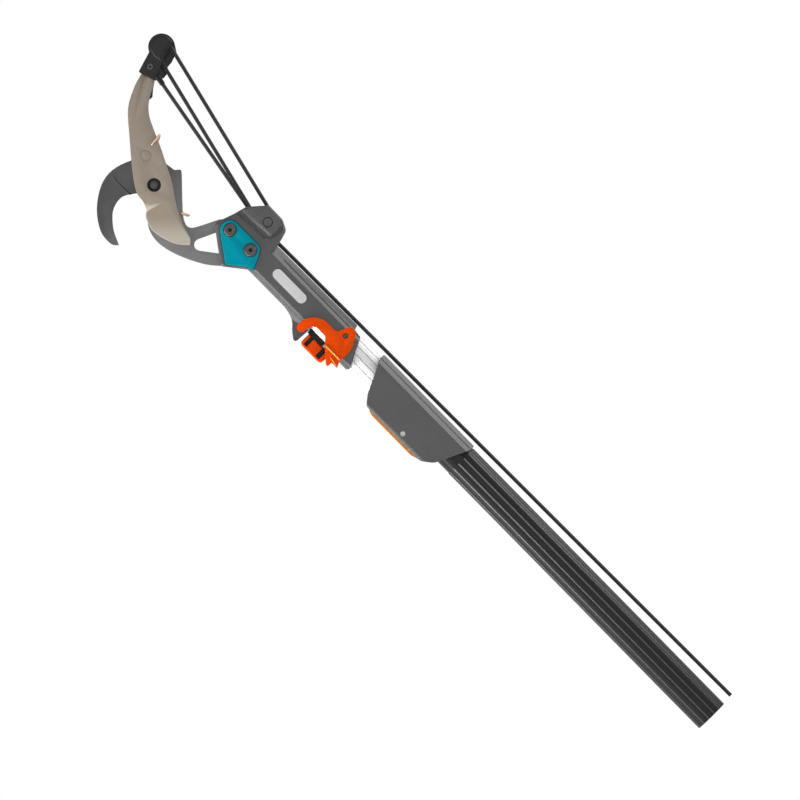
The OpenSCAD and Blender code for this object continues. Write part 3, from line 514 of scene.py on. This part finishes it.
def ring_frames(route):
    """A matrix for each point of a route, its Z along the route, carried on without twist."""
    last = len(route) - 1
    frames = []
    side = None
    for index, point in enumerate(route):
        ahead = (route[min(index + 1, last)] - route[max(index - 1, 0)]).normalized()
        if side is None:
            side = ahead.orthogonal()
        side = (side - side.dot(ahead) * ahead).normalized()
        turned = Matrix((side, ahead.cross(side), ahead)).transposed().to_4x4()
        frames.append(Matrix.Translation(point) @ turned)
    return frames


def tube(name, routes, diameter, sides, pitch, material):
    """Round tubes along routes, in one piece, with a UV map: X once round, Y once for each pitch along."""
    shape = bmesh.new()
    run = shape.verts.layers.float.new("run")
    turn = shape.verts.layers.float.new("turn")
    for route in routes:
        frames = ring_frames(route)
        ring = bmesh.ops.create_circle(
            shape, cap_ends=True, radius=diameter / 2, segments=sides, matrix=frames[0])["verts"]
        unplaced = frames[0].inverted()
        for vert in ring:
            flat = unplaced @ vert.co
            vert[turn] = math.atan2(flat.y, flat.x) / math.tau + 0.5
        edges = list({edge for vert in ring for edge in vert.link_edges})
        length = 0.0
        for index in range(1, len(route)):
            length += (route[index] - route[index - 1]).length
            grown = bmesh.ops.extrude_edge_only(shape, edges=edges)["geom"]
            verts = [item for item in grown if isinstance(item, bmesh.types.BMVert)]
            bmesh.ops.transform(shape, matrix=frames[index] @ frames[index - 1].inverted(), verts=verts)
            for vert in verts:
                vert[run] = length / pitch
            fresh = set(verts)
            rims = [item for item in grown if isinstance(item, bmesh.types.BMEdge)]
            edges = [edge for edge in rims if set(edge.verts) <= fresh]
        bmesh.ops.contextual_create(shape, geom=edges)
    bmesh.ops.recalc_face_normals(shape, faces=shape.faces)
    uv = shape.loops.layers.uv.new("UVMap")
    for face in shape.faces:
        high = max(loop.vert[turn] for loop in face.loops)
        for loop in face.loops:
            x = loop.vert[turn]
            loop[uv].uv = (x + 1.0 if high - x > 0.5 else x, loop.vert[run])
        face.smooth = len(face.verts) == 4
    return new_piece(name, shape, material)


def rod(shape, radius, depth, sides, matrix):
    """Adds a round rod to a shape."""
    bmesh.ops.create_cone(shape, cap_ends=True, segments=sides, radius1=radius, radius2=radius, depth=depth,
                          matrix=matrix)


def around(centre, radius, angle, y):
    """A point round an axle, its angle from X towards Z."""
    return Vector((centre.x + radius * math.cos(angle), y, centre.z + radius * math.sin(angle)))


def beside(centre, x, y, z):
    """A point x millimetres across and z along the pole from a centre, at the depth y."""
    return Vector((centre.x + x / 1000, y, centre.z + z / 1000))


def to_front(x, y, z):
    """A place whose own Z looks to the front."""
    return Matrix.Translation((x, y, z)) @ Matrix.Rotation(math.radians(90), 4, "X")


def middle_y(node):
    """Depth of a CAD node's middle."""
    return sum(corner.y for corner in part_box(node)) / 2


def held(share):
    """A share held between 0 and 1."""
    return min(1.0, max(0.0, share))


class PrunerPiece:
    """What the operators share."""

    bl_options = {"REGISTER", "UNDO"}

    @property
    def sizes(self):
        return bpy.context.scene.pruner_sizes

    @property
    def colours(self):
        return bpy.context.scene.pruner_colours

    # Black nylon, also used for painted shadow and painted shade
    @property
    def black(self):
        return bpy.data.materials["Black nylon and painted shade"]

    def hardware(self, material, *nodes):
        """Stands copies with slightly rounded edges for small pieces of one finish."""
        for node in nodes:
            rounded_node(node, self.sizes.hardware_edge, [material])


class PRUNER_OT_stage(PrunerPiece, bpy.types.Operator):
    """Camera, floor and soft studio light"""

    bl_idname = "pruner.stage"
    bl_label = "Stage"

    # The picture's axes in the shared frame: the pole leans across the picture from its lower right
    right = Vector((0.71316, 0.0, -0.70102))
    up = Vector((0.70102, 0.0, 0.71316))
    middle = Vector((-0.0007, 0.0, 0.4526))
    sensor = 36.0
    # Place, size and power of each lamp
    lamps = {
        "Front": (Vector((0.3, -3.0, 0.9)), (1.6, 1.6), 13),
        "Left strip": (Vector((-1.29, -0.21, 0.6)), (0.3, 1.5), 27),
        "Right strip": (Vector((1.3, 0.15, 0.45)), (0.3, 1.5), 16),
    }
    # Strength of the world as a light, and as what is seen or mirrored
    fill = 0.36
    backdrop = 1.0
    # The floor's radius, sides, place and tone, its glow, and the glow's share in what the camera sees
    floor_r = 2.0
    floor_sides = 96
    floor_z = -0.002
    floor_tone = (0.93, 0.93, 0.93, 1)
    floor_glow = 1.05
    floor_share = 0.93

    def camera(self):
        data = bpy.data.cameras.new("Camera")
        data.lens = self.sizes.lens
        data.sensor_width = self.sensor
        data.clip_end = 100
        camera = link(bpy.data.objects.new("Camera", data))
        away = self.sizes.view_width * self.sizes.lens / self.sensor
        back = self.right.cross(self.up)
        turned = Matrix((self.right, self.up, back)).transposed().to_4x4()
        camera.matrix_world = Matrix.Translation(self.middle + back * away) @ turned
        bpy.context.scene.camera = camera

    def lamp(self, name, place, size, power):
        data = bpy.data.lights.new(name, "AREA")
        data.shape = "RECTANGLE"
        data.size, data.size_y = size
        data.energy = power
        lamp = link(bpy.data.objects.new(name, data))
        lamp.location = place
        lamp.rotation_euler = (self.middle - lamp.location).to_track_quat("-Z", "Y").to_euler()

    def world(self):
        world = bpy.data.worlds.new("Studio")
        bpy.context.scene.world = world
        tree = Nodes(world)
        background = tree.nodes["Background"].inputs
        background["Color"].default_value = (1, 1, 1, 1)
        rays = tree.add("ShaderNodeLightPath").outputs
        seen = rays["Is Camera Ray"]
        for name in ("Is Glossy Ray", "Is Transmission Ray"):
            seen = tree.math("MAXIMUM", seen, rays[name])
        tree.put(background["Strength"], tree.spread(seen, 0.0, 1.0, self.fill, self.backdrop))

    def floor(self):
        shape = bmesh.new()
        bmesh.ops.create_circle(shape, cap_ends=True, radius=self.floor_r, segments=self.floor_sides,
                                matrix=Matrix.Translation((0, 0, self.floor_z)))
        finish = Finish("Pale floor", 0.9, specular=0.0)
        finish.shader.inputs["Base Color"].default_value = self.floor_tone
        white = finish.add("ShaderNodeEmission", Strength=self.floor_glow)
        rays = finish.add("ShaderNodeLightPath")
        share = finish.math("MULTIPLY", rays.outputs["Is Camera Ray"], self.floor_share)
        both = finish.add("ShaderNodeMixShader", Fac=share)
        finish.put(both.inputs[1], finish.shader.outputs["BSDF"])
        finish.put(both.inputs[2], white.outputs["Emission"])
        finish.put(finish.nodes["Material Output"].inputs["Surface"], both.outputs["Shader"])
        new_piece("Floor", shape, finish.material)

    def execute(self, context):
        context.scene.view_settings.view_transform = "Standard"
        self.camera()
        self.world()
        self.floor()
        for name, (place, size, power) in self.lamps.items():
            self.lamp(name, place, size, power)
        return {"FINISHED"}


class PRUNER_OT_hauling_cord(PrunerPiece, bpy.types.Operator):
    """Hauling stretch of the cord, from the rear sheave down the pole"""

    bl_idname = "pruner.hauling_cord"
    bl_label = "Hauling cord"

    def execute(self, context):
        material = braided("Braided cord", self.colours.cord)
        route = smooth_route(PULL_ROUTE, ROUTE_STEPS)
        length = sum((b - a).length for a, b in zip(route, route[1:]))
        cord = tube("hauling_cord", [route], self.sizes.cord_d, self.sizes.cord_sides,
                    self.sizes.braid_pitch, material)
        stand_for(cord, "pull_cord")
        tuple(route[0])
        return {"FINISHED"}


class PRUNER_OT_tackle(PrunerPiece, bpy.types.Operator):
    """Strands of the tackle and the turns that lie on its sheaves"""

    bl_idname = "pruner.tackle"
    bl_label = "Tackle"

    strand_rings = 40
    wrap_rings = 28
    # Shares of the strands' lengths that are left when the blade is closed
    pair_keep = 0.469
    lead_keep = 0.457
    # How far the dead end reaches into its ferrule, and where the hauling stretch leaves its sheave
    anchor_depth = 0.003
    pull_angle = math.radians(180.6)

    def straight(self, start, end):
        return [start.lerp(end, index / self.strand_rings) for index in range(self.strand_rings + 1)]

    def wrap(self, centre, y, first, last):
        step = (last - first) / self.wrap_rings
        angles = [first + step * index for index in range(self.wrap_rings + 1)]
        return [around(centre, self.sizes.pitch_r, angle, y) for angle in angles]

    def strand(self, name, routes, node, keep=None, axis=None):
        piece = tube(name, routes, self.sizes.cord_d, self.sizes.cord_sides, self.sizes.braid_pitch,
                     bpy.data.materials["Braided cord"])
        stand_for(piece, node)
        if keep:
            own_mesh(piece)

    def execute(self, context):
        radius = self.sizes.pitch_r
        quarter = math.pi / 2
        span = LEVER_SHEAVE - AXLE
        pair = math.atan2(span.z, span.x)
        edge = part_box("tackle_lead")[1].x
        anchor_end = Vector((edge, middle_y("cord_anchor"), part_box("cord_anchor")[0].z))
        anchor_end.x -= self.sizes.cord_d / 2
        reach = anchor_end - AXLE
        anchor_end += Vector((reach.x, 0, reach.z)).normalized() * self.anchor_depth
        lead = math.atan2(reach.z, reach.x) - math.asin(radius / math.hypot(reach.x, reach.z))
        front = middle_y("front_sheave")
        rear = middle_y("rear_sheave")
        upper = LEVER_SHEAVE.y
        strands = []
        for side, y in ((pair - quarter, front), (pair + quarter, rear)):
            start = around(AXLE, radius, side, y)
            strands.append(self.straight(start, around(LEVER_SHEAVE, radius, side, upper)))
        self.strand("tackle_strands", strands, "tackle_pair", self.pair_keep,
                    (math.cos(pair), 0, math.sin(pair)))
        lead_route = self.straight(around(AXLE, radius, lead + quarter, front), anchor_end)
        self.strand("lead_strand", [lead_route], "tackle_lead", self.lead_keep,
                    (math.cos(lead), 0, math.sin(lead)))
        turns = [self.wrap(AXLE, front, lead + quarter, pair + 3 * quarter),
                 self.wrap(AXLE, rear, pair + quarter, self.pull_angle)]
        self.strand("head_turns", turns, "housing_wraps")
        turn = self.wrap(LEVER_SHEAVE, upper, pair - quarter, pair + quarter)
        self.strand("lever_turn", [turn], "lever_wrap")
        return {"FINISHED"}


class PRUNER_OT_return_spring(PrunerPiece, bpy.types.Operator):
    """Wire spring that opens the cutting lever, from the fixed plate round the pivot to the lever"""

    bl_idname = "pruner.return_spring"
    bl_label = "Return spring"

    turn_steps = 24
    start = math.radians(195)
    sweep = math.radians(2 * 360 + 76)
    pitch = 0.0034
    # Clearance from the plates, length of the wire's UV map, and half the stretch where its turn is shared
    gap = 0.0003
    uv_pitch = 0.01
    share_half = Vector((0.0043, 0, 0.0090))

    def execute(self, context):
        wire_d = self.sizes.spring_wire
        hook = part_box("hook_blade")
        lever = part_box("blade_lever")
        first_y = hook[1].y + wire_d / 2 + self.gap
        last_y = first_y + self.pitch * self.sweep / math.tau
        low_y = hook[0].y - wire_d / 2
        high_y = lever[0].y - wire_d / 2 - self.gap

        # Millimetres across and along the pole from the pivot, and depths in metres
        low = [beside(PIVOT, *spot) for spot in (
            (-0.6, low_y, -40), (1.6, low_y, -43.5), (3.2, low_y + 0.0016, -46), (3.4, 0.0005, -46.4),
            (3, first_y - 0.0016, -46), (1.6, first_y, -43.5), (-4, first_y, -22))]
        count = round(self.turn_steps * self.sweep / math.tau)
        coil = [around(PIVOT, self.sizes.spring_r, self.start - self.sweep * index / count,
                       first_y + (last_y - first_y) * index / count) for index in range(count + 1)]
        high = [beside(PIVOT, *spot) for spot in (
            (20, last_y, 22.5), (33, last_y - 0.002, 29.5), (38.5, last_y - 0.005, 32), (39.5, 0, 32.3),
            (38.8, high_y + 0.0012, 32.2), (36.5, high_y, 31.9), (27, high_y, 31))]
        lower = smooth_route(low + [coil[0]], ROUTE_STEPS)[:-1]
        upper = smooth_route([coil[-1]] + high, ROUTE_STEPS)[1:]
        spring = tube("return_spring_wire", [lower + coil + upper], wire_d, self.sizes.cord_sides,
                      self.uv_pitch, wire("Spring wire", self.colours.copper))
        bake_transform(spring)
        stand_for(spring, "return_spring", rides=False)
        return {"FINISHED"}


class PRUNER_OT_tubes(PrunerPiece, bpy.types.Operator):
    """Fluted tubes of the telescope and the bushes between them"""

    bl_idname = "pruner.tubes"
    bl_label = "Tubes"

    # Radii of the floor and the land of each tube's grooves, whose floors carry a painted highlight on the outer
    # tube and a painted shade on the inner
    outer_flutes = (0.01755, 0.01795)
    inner_flutes = (0.01572, 0.01612)
    # Heights and shares of the painted highlight in the outer tube's grooves, stronger towards the clamp, and the
    # turned seat where it stops
    outer_fade = (0.02, 0.36, 0.35, 1.0, 0.3644)

    def execute(self, context):
        colours = self.colours
        black_tube = drawn("Black anodised tube", colours.black_tube, roughness=0.3, streak=0.2,
                           specular=0.12, flute_painted_light=(colours.flute_painted_light, *self.outer_flutes), fade=self.outer_fade)
        finish_node("outer_tube", black_tube)
        bare_tube = drawn("Bare drawn tube", colours.bare_tube, roughness=0.4, streak=0.06, specular=0.3,
                          flute_painted_light=(colours.inner_flute_shade, *self.inner_flutes))
        finish_node("inner_tube", bare_tube)
        black = moulded("Black nylon and painted shade", colours.black, roughness=0.4, specular=0.12)
        self.hardware(black, "guide_bush", "tube_glide", "wiper_ring", "brake_shoe")
        return {"FINISHED"}


class PRUNER_OT_clamp(PrunerPiece, bpy.types.Operator):
    """Telescope clamp with its release lever, pin and spring"""

    bl_idname = "pruner.clamp"
    bl_label = "Telescope clamp"

    # How far the pressed release lever pushes its spring in
    spring_travel = 0.0015

    def execute(self, context):
        edge = self.sizes.moulding_edge
        plain_node("clamp_body", moulded("Grey moulding", self.colours.grey, edge=edge))
        amber = moulded("Release lever", self.colours.release, roughness=0.38, specular=0.1)
        rounded_node("release_lever", edge, [amber])
        bright = plated("Plated steel", self.colours.steel)
        self.hardware(bright, "release_pin")
        spring = plain_node("lock_spring", bright)
        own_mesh(spring)
        return {"FINISHED"}


class PRUNER_OT_head(PrunerPiece, bpy.types.Operator):
    """Moulded head with its side plate, screws and bare label plate"""

    bl_idname = "pruner.head"
    bl_label = "Head"

    # The bare plate on the neck: its centre across and along the pole, its size and its seat
    label_centre = (0.0003, 0.614)
    label_size = (0.0107, 0.0446)
    label_thick = 0.0005
    neck_y = -0.0185
    # The boss's long edge: its ring above the cheek, where its broader chamfer fades out, and how far it goes
    cheek_y = 0.0186
    boss_step = 0.0015
    boss_edge = (0.0215, 0.0245)
    boss_wide = 0.0024
    boss_deep = 0.0015
    # The neck's cord side flares towards the tube: the height below which it does, its edge and its flare
    flare_below = 0.60
    flare_edge = (0.0185, 0.0198)
    flare = 0.0014
    # The front cheek's border on the hook's side: its corner, the way that it faces and how far it moves out
    border_corner = Vector((-0.0342, 0, 0.6755))
    border_out = Vector((-0.807, 0, 0.590))
    border_move = 0.0018
    # Depths behind the border between which the move fades, its chamfer, its back, and room for the screws
    border_near = 0.0008
    border_far = 0.0034
    border_chamfer = 0.0025
    border_behind = -0.0022
    border_clear = 0.0048
    # A low ridge that follows the boss's channel, with a taper at its ends
    bead_wide = 0.0018
    bead_high = 0.0006
    ridge_from = (0.0134, 0.7035)
    ridge_to = (0.0155, 0.6660)
    ridge_end = 0.1
    # Black rings of painted shadow round the side plate and its screws' heads
    shadow_wide = 0.0007
    shadow_high = 0.0001
    screw_head_r = 0.0064
    round_sides = 48

    def label(self):
        """A bare pale plate with round ends on the neck's front."""
        width, height = self.label_size
        x, z = self.label_centre
        shape = bmesh.new()
        ring = bmesh.ops.create_circle(
            shape, cap_ends=True, radius=width / 2, segments=self.round_sides)["verts"]
        for vert in ring:
            vert.co.y += math.copysign((height - width) / 2, vert.co.y)
        bmesh.ops.transform(shape, matrix=to_front(x, self.neck_y, z), verts=shape.verts)
        face = bmesh.ops.extrude_face_region(shape, geom=list(shape.faces))["geom"]
        raised = [item for item in face if isinstance(item, bmesh.types.BMVert)]
        bmesh.ops.translate(shape, verts=raised, vec=(0, -self.label_thick, 0))
        bmesh.ops.recalc_face_normals(shape, faces=shape.faces)
        piece = new_piece("label_plate", shape, moulded("Bare label", self.colours.label, roughness=0.35))
        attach(piece, "head")

    def moulded_edges(self, shape):
        """Broadens the boss's chamfer and flares the neck."""
        near, far = self.boss_edge
        inner, outer = self.flare_edge
        for vert in shape.verts:
            rise = abs(vert.co.y) - self.cheek_y
            share = held((far - vert.co.x) / (far - near))
            if rise > self.boss_step:
                vert.co.x += self.boss_wide * share
            elif rise > self.boss_step / 2:
                vert.co.y -= math.copysign(self.boss_deep * share, vert.co.y)
            if vert.co.z < self.flare_below:
                vert.co.x += self.flare * held((vert.co.x - inner) / (outer - inner))
        self.wider_border(shape)

    def wider_border(self, shape):
        """Moves the front cheek's border out on the hook's side, clear of the screws' holes."""
        holes = self.screw_places()
        for vert in shape.verts:
            if vert.co.y > self.border_behind or vert.co.z < self.flare_below:
                continue
            if any(math.hypot(vert.co.x - x, vert.co.z - z) < self.border_clear for x, z in holes):
                continue
            inward = (self.border_corner - vert.co).dot(self.border_out)
            if vert.co.y < MERGE - self.cheek_y:
                inward -= self.border_chamfer
            share = (self.border_far - inward) / (self.border_far - self.border_near)
            vert.co += self.border_out * (self.border_move * held(share))

    def plate_rim_shadow(self):
        """Black ring round the side plate's edge: painted shadow where the plate stands on the cheek."""
        shape = whole_copy("side_plate")
        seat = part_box("side_plate")[1].y
        moves = {}
        for vert in shape.verts:
            walls = [face.normal for face in vert.link_faces if abs(face.normal.y) < WALL]
            moves[vert] = sum(walls, Vector()).normalized() * self.shadow_wide
        for vert, move in moves.items():
            vert.co += move
            vert.co.y = min(seat, max(seat - self.shadow_high, vert.co.y))
        piece = new_piece("side_plate_painted_shadow", shape, self.black)
        seat_trim(piece, "side_plate")

    def bead(self, shape, path, side):
        """Adds a low ridge that stands on a cheek and tapers off at both ends of its path."""
        rows = []
        for index, (foot, across) in enumerate(path):
            high = 0.0 if index in (0, len(path) - 1) else self.bead_high
            crest = foot + across * (self.bead_wide / 2) + Vector((0.0, side * high, 0.0))
            rows.append([shape.verts.new(spot) for spot in (foot, crest, foot + across * self.bead_wide)])
        for near, far in zip(rows, rows[1:]):
            for first, second in ((0, 1), (1, 2), (2, 0)):
                shape.faces.new((near[first], near[second], far[second], far[first]))

    def ridges(self, material):
        """Ridges beside the boss's channels."""
        shape = bmesh.new()
        for side in (-1, 1):
            start = Vector((self.ridge_from[0], side * self.cheek_y, self.ridge_from[1]))
            end = Vector((self.ridge_to[0], side * self.cheek_y, self.ridge_to[1]))
            across = Vector((start.z - end.z, 0.0, end.x - start.x)).normalized()
            shares = (0.0, self.ridge_end, 1.0 - self.ridge_end, 1.0)
            self.bead(shape, [(start.lerp(end, share), across) for share in shares], side)
        bmesh.ops.recalc_face_normals(shape, faces=shape.faces)
        piece = new_piece("head_ridges", shape, material)
        seat_trim(piece, "head_housing")

    def screw_places(self):
        """Where the side plate's screws stand."""
        radius = self.screw_head_r
        low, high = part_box("plate_screws")
        return (low.x + radius, high.z - radius), (high.x - radius, low.z + radius)

    def screw_rim_shadows(self):
        """Black rings round the side plate's screw heads: painted shadow where the heads stand on the plate."""
        radius = self.screw_head_r + self.shadow_wide
        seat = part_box("side_plate")[0].y
        shape = bmesh.new()
        for x, z in self.screw_places():
            rod(shape, radius, 2 * self.shadow_high, self.round_sides, to_front(x, seat, z))
        piece = new_piece("screw_rim_shadows", shape, self.black)
        seat_trim(piece, "side_plate")

    def execute(self, context):
        grey = bpy.data.materials["Grey moulding"]
        plain_node("head_housing", grey, self.moulded_edges)
        self.ridges(grey)
        self.plate_rim_shadow()
        teal = moulded("Teal plate", self.colours.teal, roughness=0.4, grain=1800.0, depth=0.000003,
                       specular=0.03)
        rounded_node("side_plate", self.sizes.plate_edge, [teal])
        screw = plated("Screw steel", self.colours.screw, roughness=0.45, metallic=0.5)
        self.hardware(screw, "plate_nuts")
        self.screw_rim_shadows()
        rounded_node("plate_screws", self.sizes.hardware_edge, [screw, self.black], socket_shade_of("plate_screws"))
        self.hardware(screw, "sheave_axle")
        self.label()
        return {"FINISHED"}


class PRUNER_OT_cutting_plates(PrunerPiece, bpy.types.Operator):
    """Hook plate, cutting lever with its ground face, and the pivot's bolt"""

    bl_idname = "pruner.cutting_plates"
    bl_label = "Cutting plates"

    # Heights between which the coatings' tones drift, and how light the lever's foot and the run-out are; the
    # run-out is bare ground steel, painted lighter still as a highlight on its hollow
    hook_drift = (0.735, 0.80)
    lever_drift = (0.76, 0.86)
    foot_tone = 1.15
    runout_highlight = 1.1
    # How squarely a face of the lever looks to the front
    front = 0.9995
    ground = 0.98
    runout = 0.9
    # Where the ground face pales, and where its run-out starts, from the pivot
    pale_from = Vector((-0.0158, 0, -0.0274))
    pale_to = Vector((-0.0240, 0, -0.0551))
    runout_from = Vector((-0.0042, 0, -0.0192))
    runout_down = Vector((-0.5835, 0, -0.8121))
    runout_deep = 0.004
    rim = 0.0011
    lever_edge = 0.8
    # The crease where the hook's ground part starts, in millimetres from the pivot, drawn as a black line of
    # painted shade
    crease = ((-23.3, 34.5), (-24.1, 28.7), (-24.6, 21.5), (-23.9, 14.3), (-23.6, 11.2))
    crease_steps = 4
    # Width, sides and UV length of the crease, its round end, and how flat both are pressed
    crease_d = 0.0007
    crease_sides = 8
    crease_pitch = 0.01
    stop_d = 0.0018
    stop_sides = 12
    stop_run = Vector((0.0004, 0, -0.0016))
    crease_flat = 0.1
    # Radius of the pivot bolt's dome; its flange beyond is painted black as shade
    dome_r = 0.0050

    def grind(self, face):
        """The finish of a face of the lever: coating, ground face or its run-out."""
        ahead = -face.normal.y
        if ahead > self.front or ahead < self.runout:
            return 0
        return 1 if ahead > self.ground else 2

    def cutting_rim(self, shape):
        """Honed rim of the ground face along the lever's edge."""
        faces = [face for face in shape.faces if face.material_index == 1]
        ring = bmesh.ops.inset_region(shape, faces=faces, thickness=self.rim, use_even_offset=True)["faces"]
        for face in ring:
            face.material_index = 1
        for face in ring:
            beside = [other for edge in face.edges for other in edge.link_faces]
            if any(abs(other.normal.y) < WALL for other in beside):
                face.material_index = 3

    def sunk_shade(self, face):
        """Chooses black for the pivot bolt's flange round its dome: painted shade of the recess round the dome."""
        reach = max(math.hypot(vert.co.x - PIVOT.x, vert.co.z - PIVOT.z) for vert in face.verts)
        return 1 if reach > self.dome_r else 0

    def hook_crease_shade(self):
        """Black line of painted shade along the crease where the hook's ground part starts, with a round spot of
        painted shade at its end.
        """
        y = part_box("hook_blade")[0].y
        route = [beside(PIVOT, x, y, z) for x, z in self.crease]
        spot = [route[-1], route[-1] + self.stop_run]
        line = tube("hook_crease_shade", [smooth_route(route, self.crease_steps)], self.crease_d, self.crease_sides,
                    self.crease_pitch, self.black)
        stop = tube("hook_crease_end", [spot], self.stop_d, self.stop_sides, self.crease_pitch, self.black)
        for item in (line, stop):
            for vert in item.data.vertices:
                vert.co.y = y + (vert.co.y - y) * self.crease_flat
            seat_trim(item, "hook_blade")

    def execute(self, context):
        colours = self.colours
        hook = coated("Hook coating", colours.body, colours.hook, *self.hook_drift)
        rounded_node("hook_blade", self.sizes.plate_edge, [hook])
        self.hook_crease_shade()
        warm = shade(colours.lever, self.foot_tone)[:3]
        # The run-out's far side: bare ground steel with a painted highlight on it
        light = shade(colours.ground, self.runout_highlight)[:3]
        down = -PRUNER_OT_stage.up
        pale = [down.dot(PIVOT + place) for place in (self.pale_from, self.pale_to)]
        start = self.runout_down.dot(PIVOT + self.runout_from)
        finishes = [coated("Lever coating", warm, colours.lever, *self.lever_drift),
                    ground("Ground face", warm, colours.ground, down, *pale),
                    ground("Ground run-out", warm, light, self.runout_down, start, start + self.runout_deep),
                    ground("Honed rim", colours.rim, colours.rim, down, *pale)]
        edge = self.sizes.plate_edge * self.lever_edge
        rounded_node("blade_lever", edge, finishes, self.grind, self.cutting_rim)
        dark = plated("Dark steel", colours.dark_steel, roughness=0.4, metallic=0.2)
        rounded_node("pivot_bolt", self.sizes.hardware_edge, [dark, self.black], self.sunk_shade)
        self.hardware(bpy.data.materials["Plated steel"], "pivot_washer", "pivot_nut")
        return {"FINISHED"}


class PRUNER_OT_sheaves(PrunerPiece, bpy.types.Operator):
    """Sheaves, and the block on the lever's end with its screw, axle and cord ferrule"""

    bl_idname = "pruner.sheaves"
    bl_label = "Sheaves and block"

    # Width, height and rings of the crown on the block's front, and the share of rounding on its edges
    dome_wide = 0.003
    dome_high = 0.002
    dome_steps = 6
    block_edge = 0.7

    def dome(self, shape):
        """Crowns the block's front with rings that follow a quarter of an ellipse."""
        front = min(vert.co.y for vert in shape.verts)
        faces = [face for face in shape.faces if face.calc_center_median().y < front + MERGE]
        for step in range(self.dome_steps):
            first, last = (math.pi / 2 * index / self.dome_steps for index in (step, step + 1))
            bmesh.ops.inset_region(
                shape, faces=faces, use_even_offset=True,
                thickness=self.dome_wide * (math.cos(first) - math.cos(last)),
                depth=self.dome_high * (math.sin(last) - math.sin(first)))

    def execute(self, context):
        block = moulded("Dark moulding", self.colours.block, roughness=0.42, specular=0.2)
        self.hardware(self.black, "front_sheave", "rear_sheave", "lever_sheave", "cord_anchor")
        edge = self.sizes.moulding_edge * self.block_edge
        rounded_node("lever_head_front", edge, [block], detail=self.dome)
        rounded_node("lever_head_back", edge, [block])
        self.hardware(bpy.data.materials["Plated steel"], "head_nut", "lever_axle")
        screw = bpy.data.materials["Screw steel"]
        rounded_node("head_screw", self.sizes.hardware_edge, [screw, self.black], socket_shade_of("head_screw"))
        return {"FINISHED"}


class PRUNER_OT_quick_lock(PrunerPiece, bpy.types.Operator):
    """Lock lever, its pins, and the latch that it draws"""

    bl_idname = "pruner.quick_lock"
    bl_label = "Quick lock"

    # Folds of each cheek, where ribs of painted highlight lie, in millimetres from the pin: two ends across and
    # along the pole, and a radius
    folds = (((-21.2, 8.2), (-21.2, -12.8), 0.7), ((-26.1, -4.4), (-28.0, -14.6), 0.4))
    fold_sides = 16
    # Shares of rounding on the edges of the lever and the button
    lever_edge = 0.5
    button_edge = 0.6

    def fold_highlight_ribs(self):
        """Half round ribs in a pale orange along the folds of the lock lever's cheeks: a painted highlight where
        the folds catch the light.
        """
        pin = Vector(JOINTS["lock_lever_turn"]["pos_m"])
        shape = bmesh.new()
        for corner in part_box("lock_lever"):
            for *ends, radius in self.folds:
                start, end = (beside(pin, x, corner.y, z) for x, z in ends)
                turned = (end - start).to_track_quat("Z", "Y").to_matrix().to_4x4()
                placed = Matrix.Translation((start + end) / 2) @ turned
                rod(shape, radius / 1000, (end - start).length, self.fold_sides, placed)
        # A paler orange along the folds: a painted highlight
        pale = moulded("Orange fold highlight", self.colours.fold, roughness=0.3, specular=0.1)
        piece = new_piece("lock_lever_fold_highlights", shape, pale)
        piece.data.shade_smooth()
        seat_trim(piece, "lock_lever")

    def execute(self, context):
        orange = moulded("Orange moulding", self.colours.orange, roughness=0.38, specular=0.04)
        dark = bpy.data.materials["Dark steel"]
        edge = self.sizes.moulding_edge
        self.fold_highlight_ribs()
        rounded_node("lock_lever", edge * self.lever_edge, [orange])
        rounded_node("latch_button", edge * self.button_edge, [orange])
        rounded_node("latch_slide", self.sizes.plate_edge, [self.black])
        rounded_node("lock_pins", self.sizes.hardware_edge, [dark, self.black], detail=ringed_ends)
        self.hardware(dark, "latch_bolt")
        return {"FINISHED"}


OPERATORS = (
    PRUNER_OT_stage,
    PRUNER_OT_hauling_cord,
    PRUNER_OT_tackle,
    PRUNER_OT_return_spring,
    PRUNER_OT_tubes,
    PRUNER_OT_clamp,
    PRUNER_OT_head,
    PRUNER_OT_cutting_plates,
    PRUNER_OT_sheaves,
    PRUNER_OT_quick_lock,
)


class PRUNER_PT_pieces(bpy.types.Panel):
    """Lists the pruner's pieces"""

    bl_idname = "PRUNER_PT_pieces"
    bl_label = "Tree Pruner"
    bl_space_type = "VIEW_3D"
    bl_region_type = "UI"
    bl_category = "Pruner"

    def draw(self, context):
        for operator in OPERATORS:
            self.layout.operator(operator.bl_idname)
        for settings in (context.scene.pruner_sizes, context.scene.pruner_colours):
            box = self.layout.box()
            for name in settings.__annotations__:
                box.prop(settings, name)


CLASSES = (PrunerSizes, PrunerColours, *OPERATORS, PRUNER_PT_pieces)


def register():
    for item in CLASSES:
        bpy.utils.register_class(item)
    bpy.types.Scene.pruner_sizes = PointerProperty(type=PrunerSizes)
    bpy.types.Scene.pruner_colours = PointerProperty(type=PrunerColours)


def unregister():
    del bpy.types.Scene.pruner_colours
    del bpy.types.Scene.pruner_sizes
    for item in reversed(CLASSES):
        bpy.utils.unregister_class(item)


def main():
    register()
    for operator in OPERATORS:
        group, name = operator.bl_idname.split(".")
        getattr(getattr(bpy.ops, group), name)()


if __name__ == "__main__":
    main()
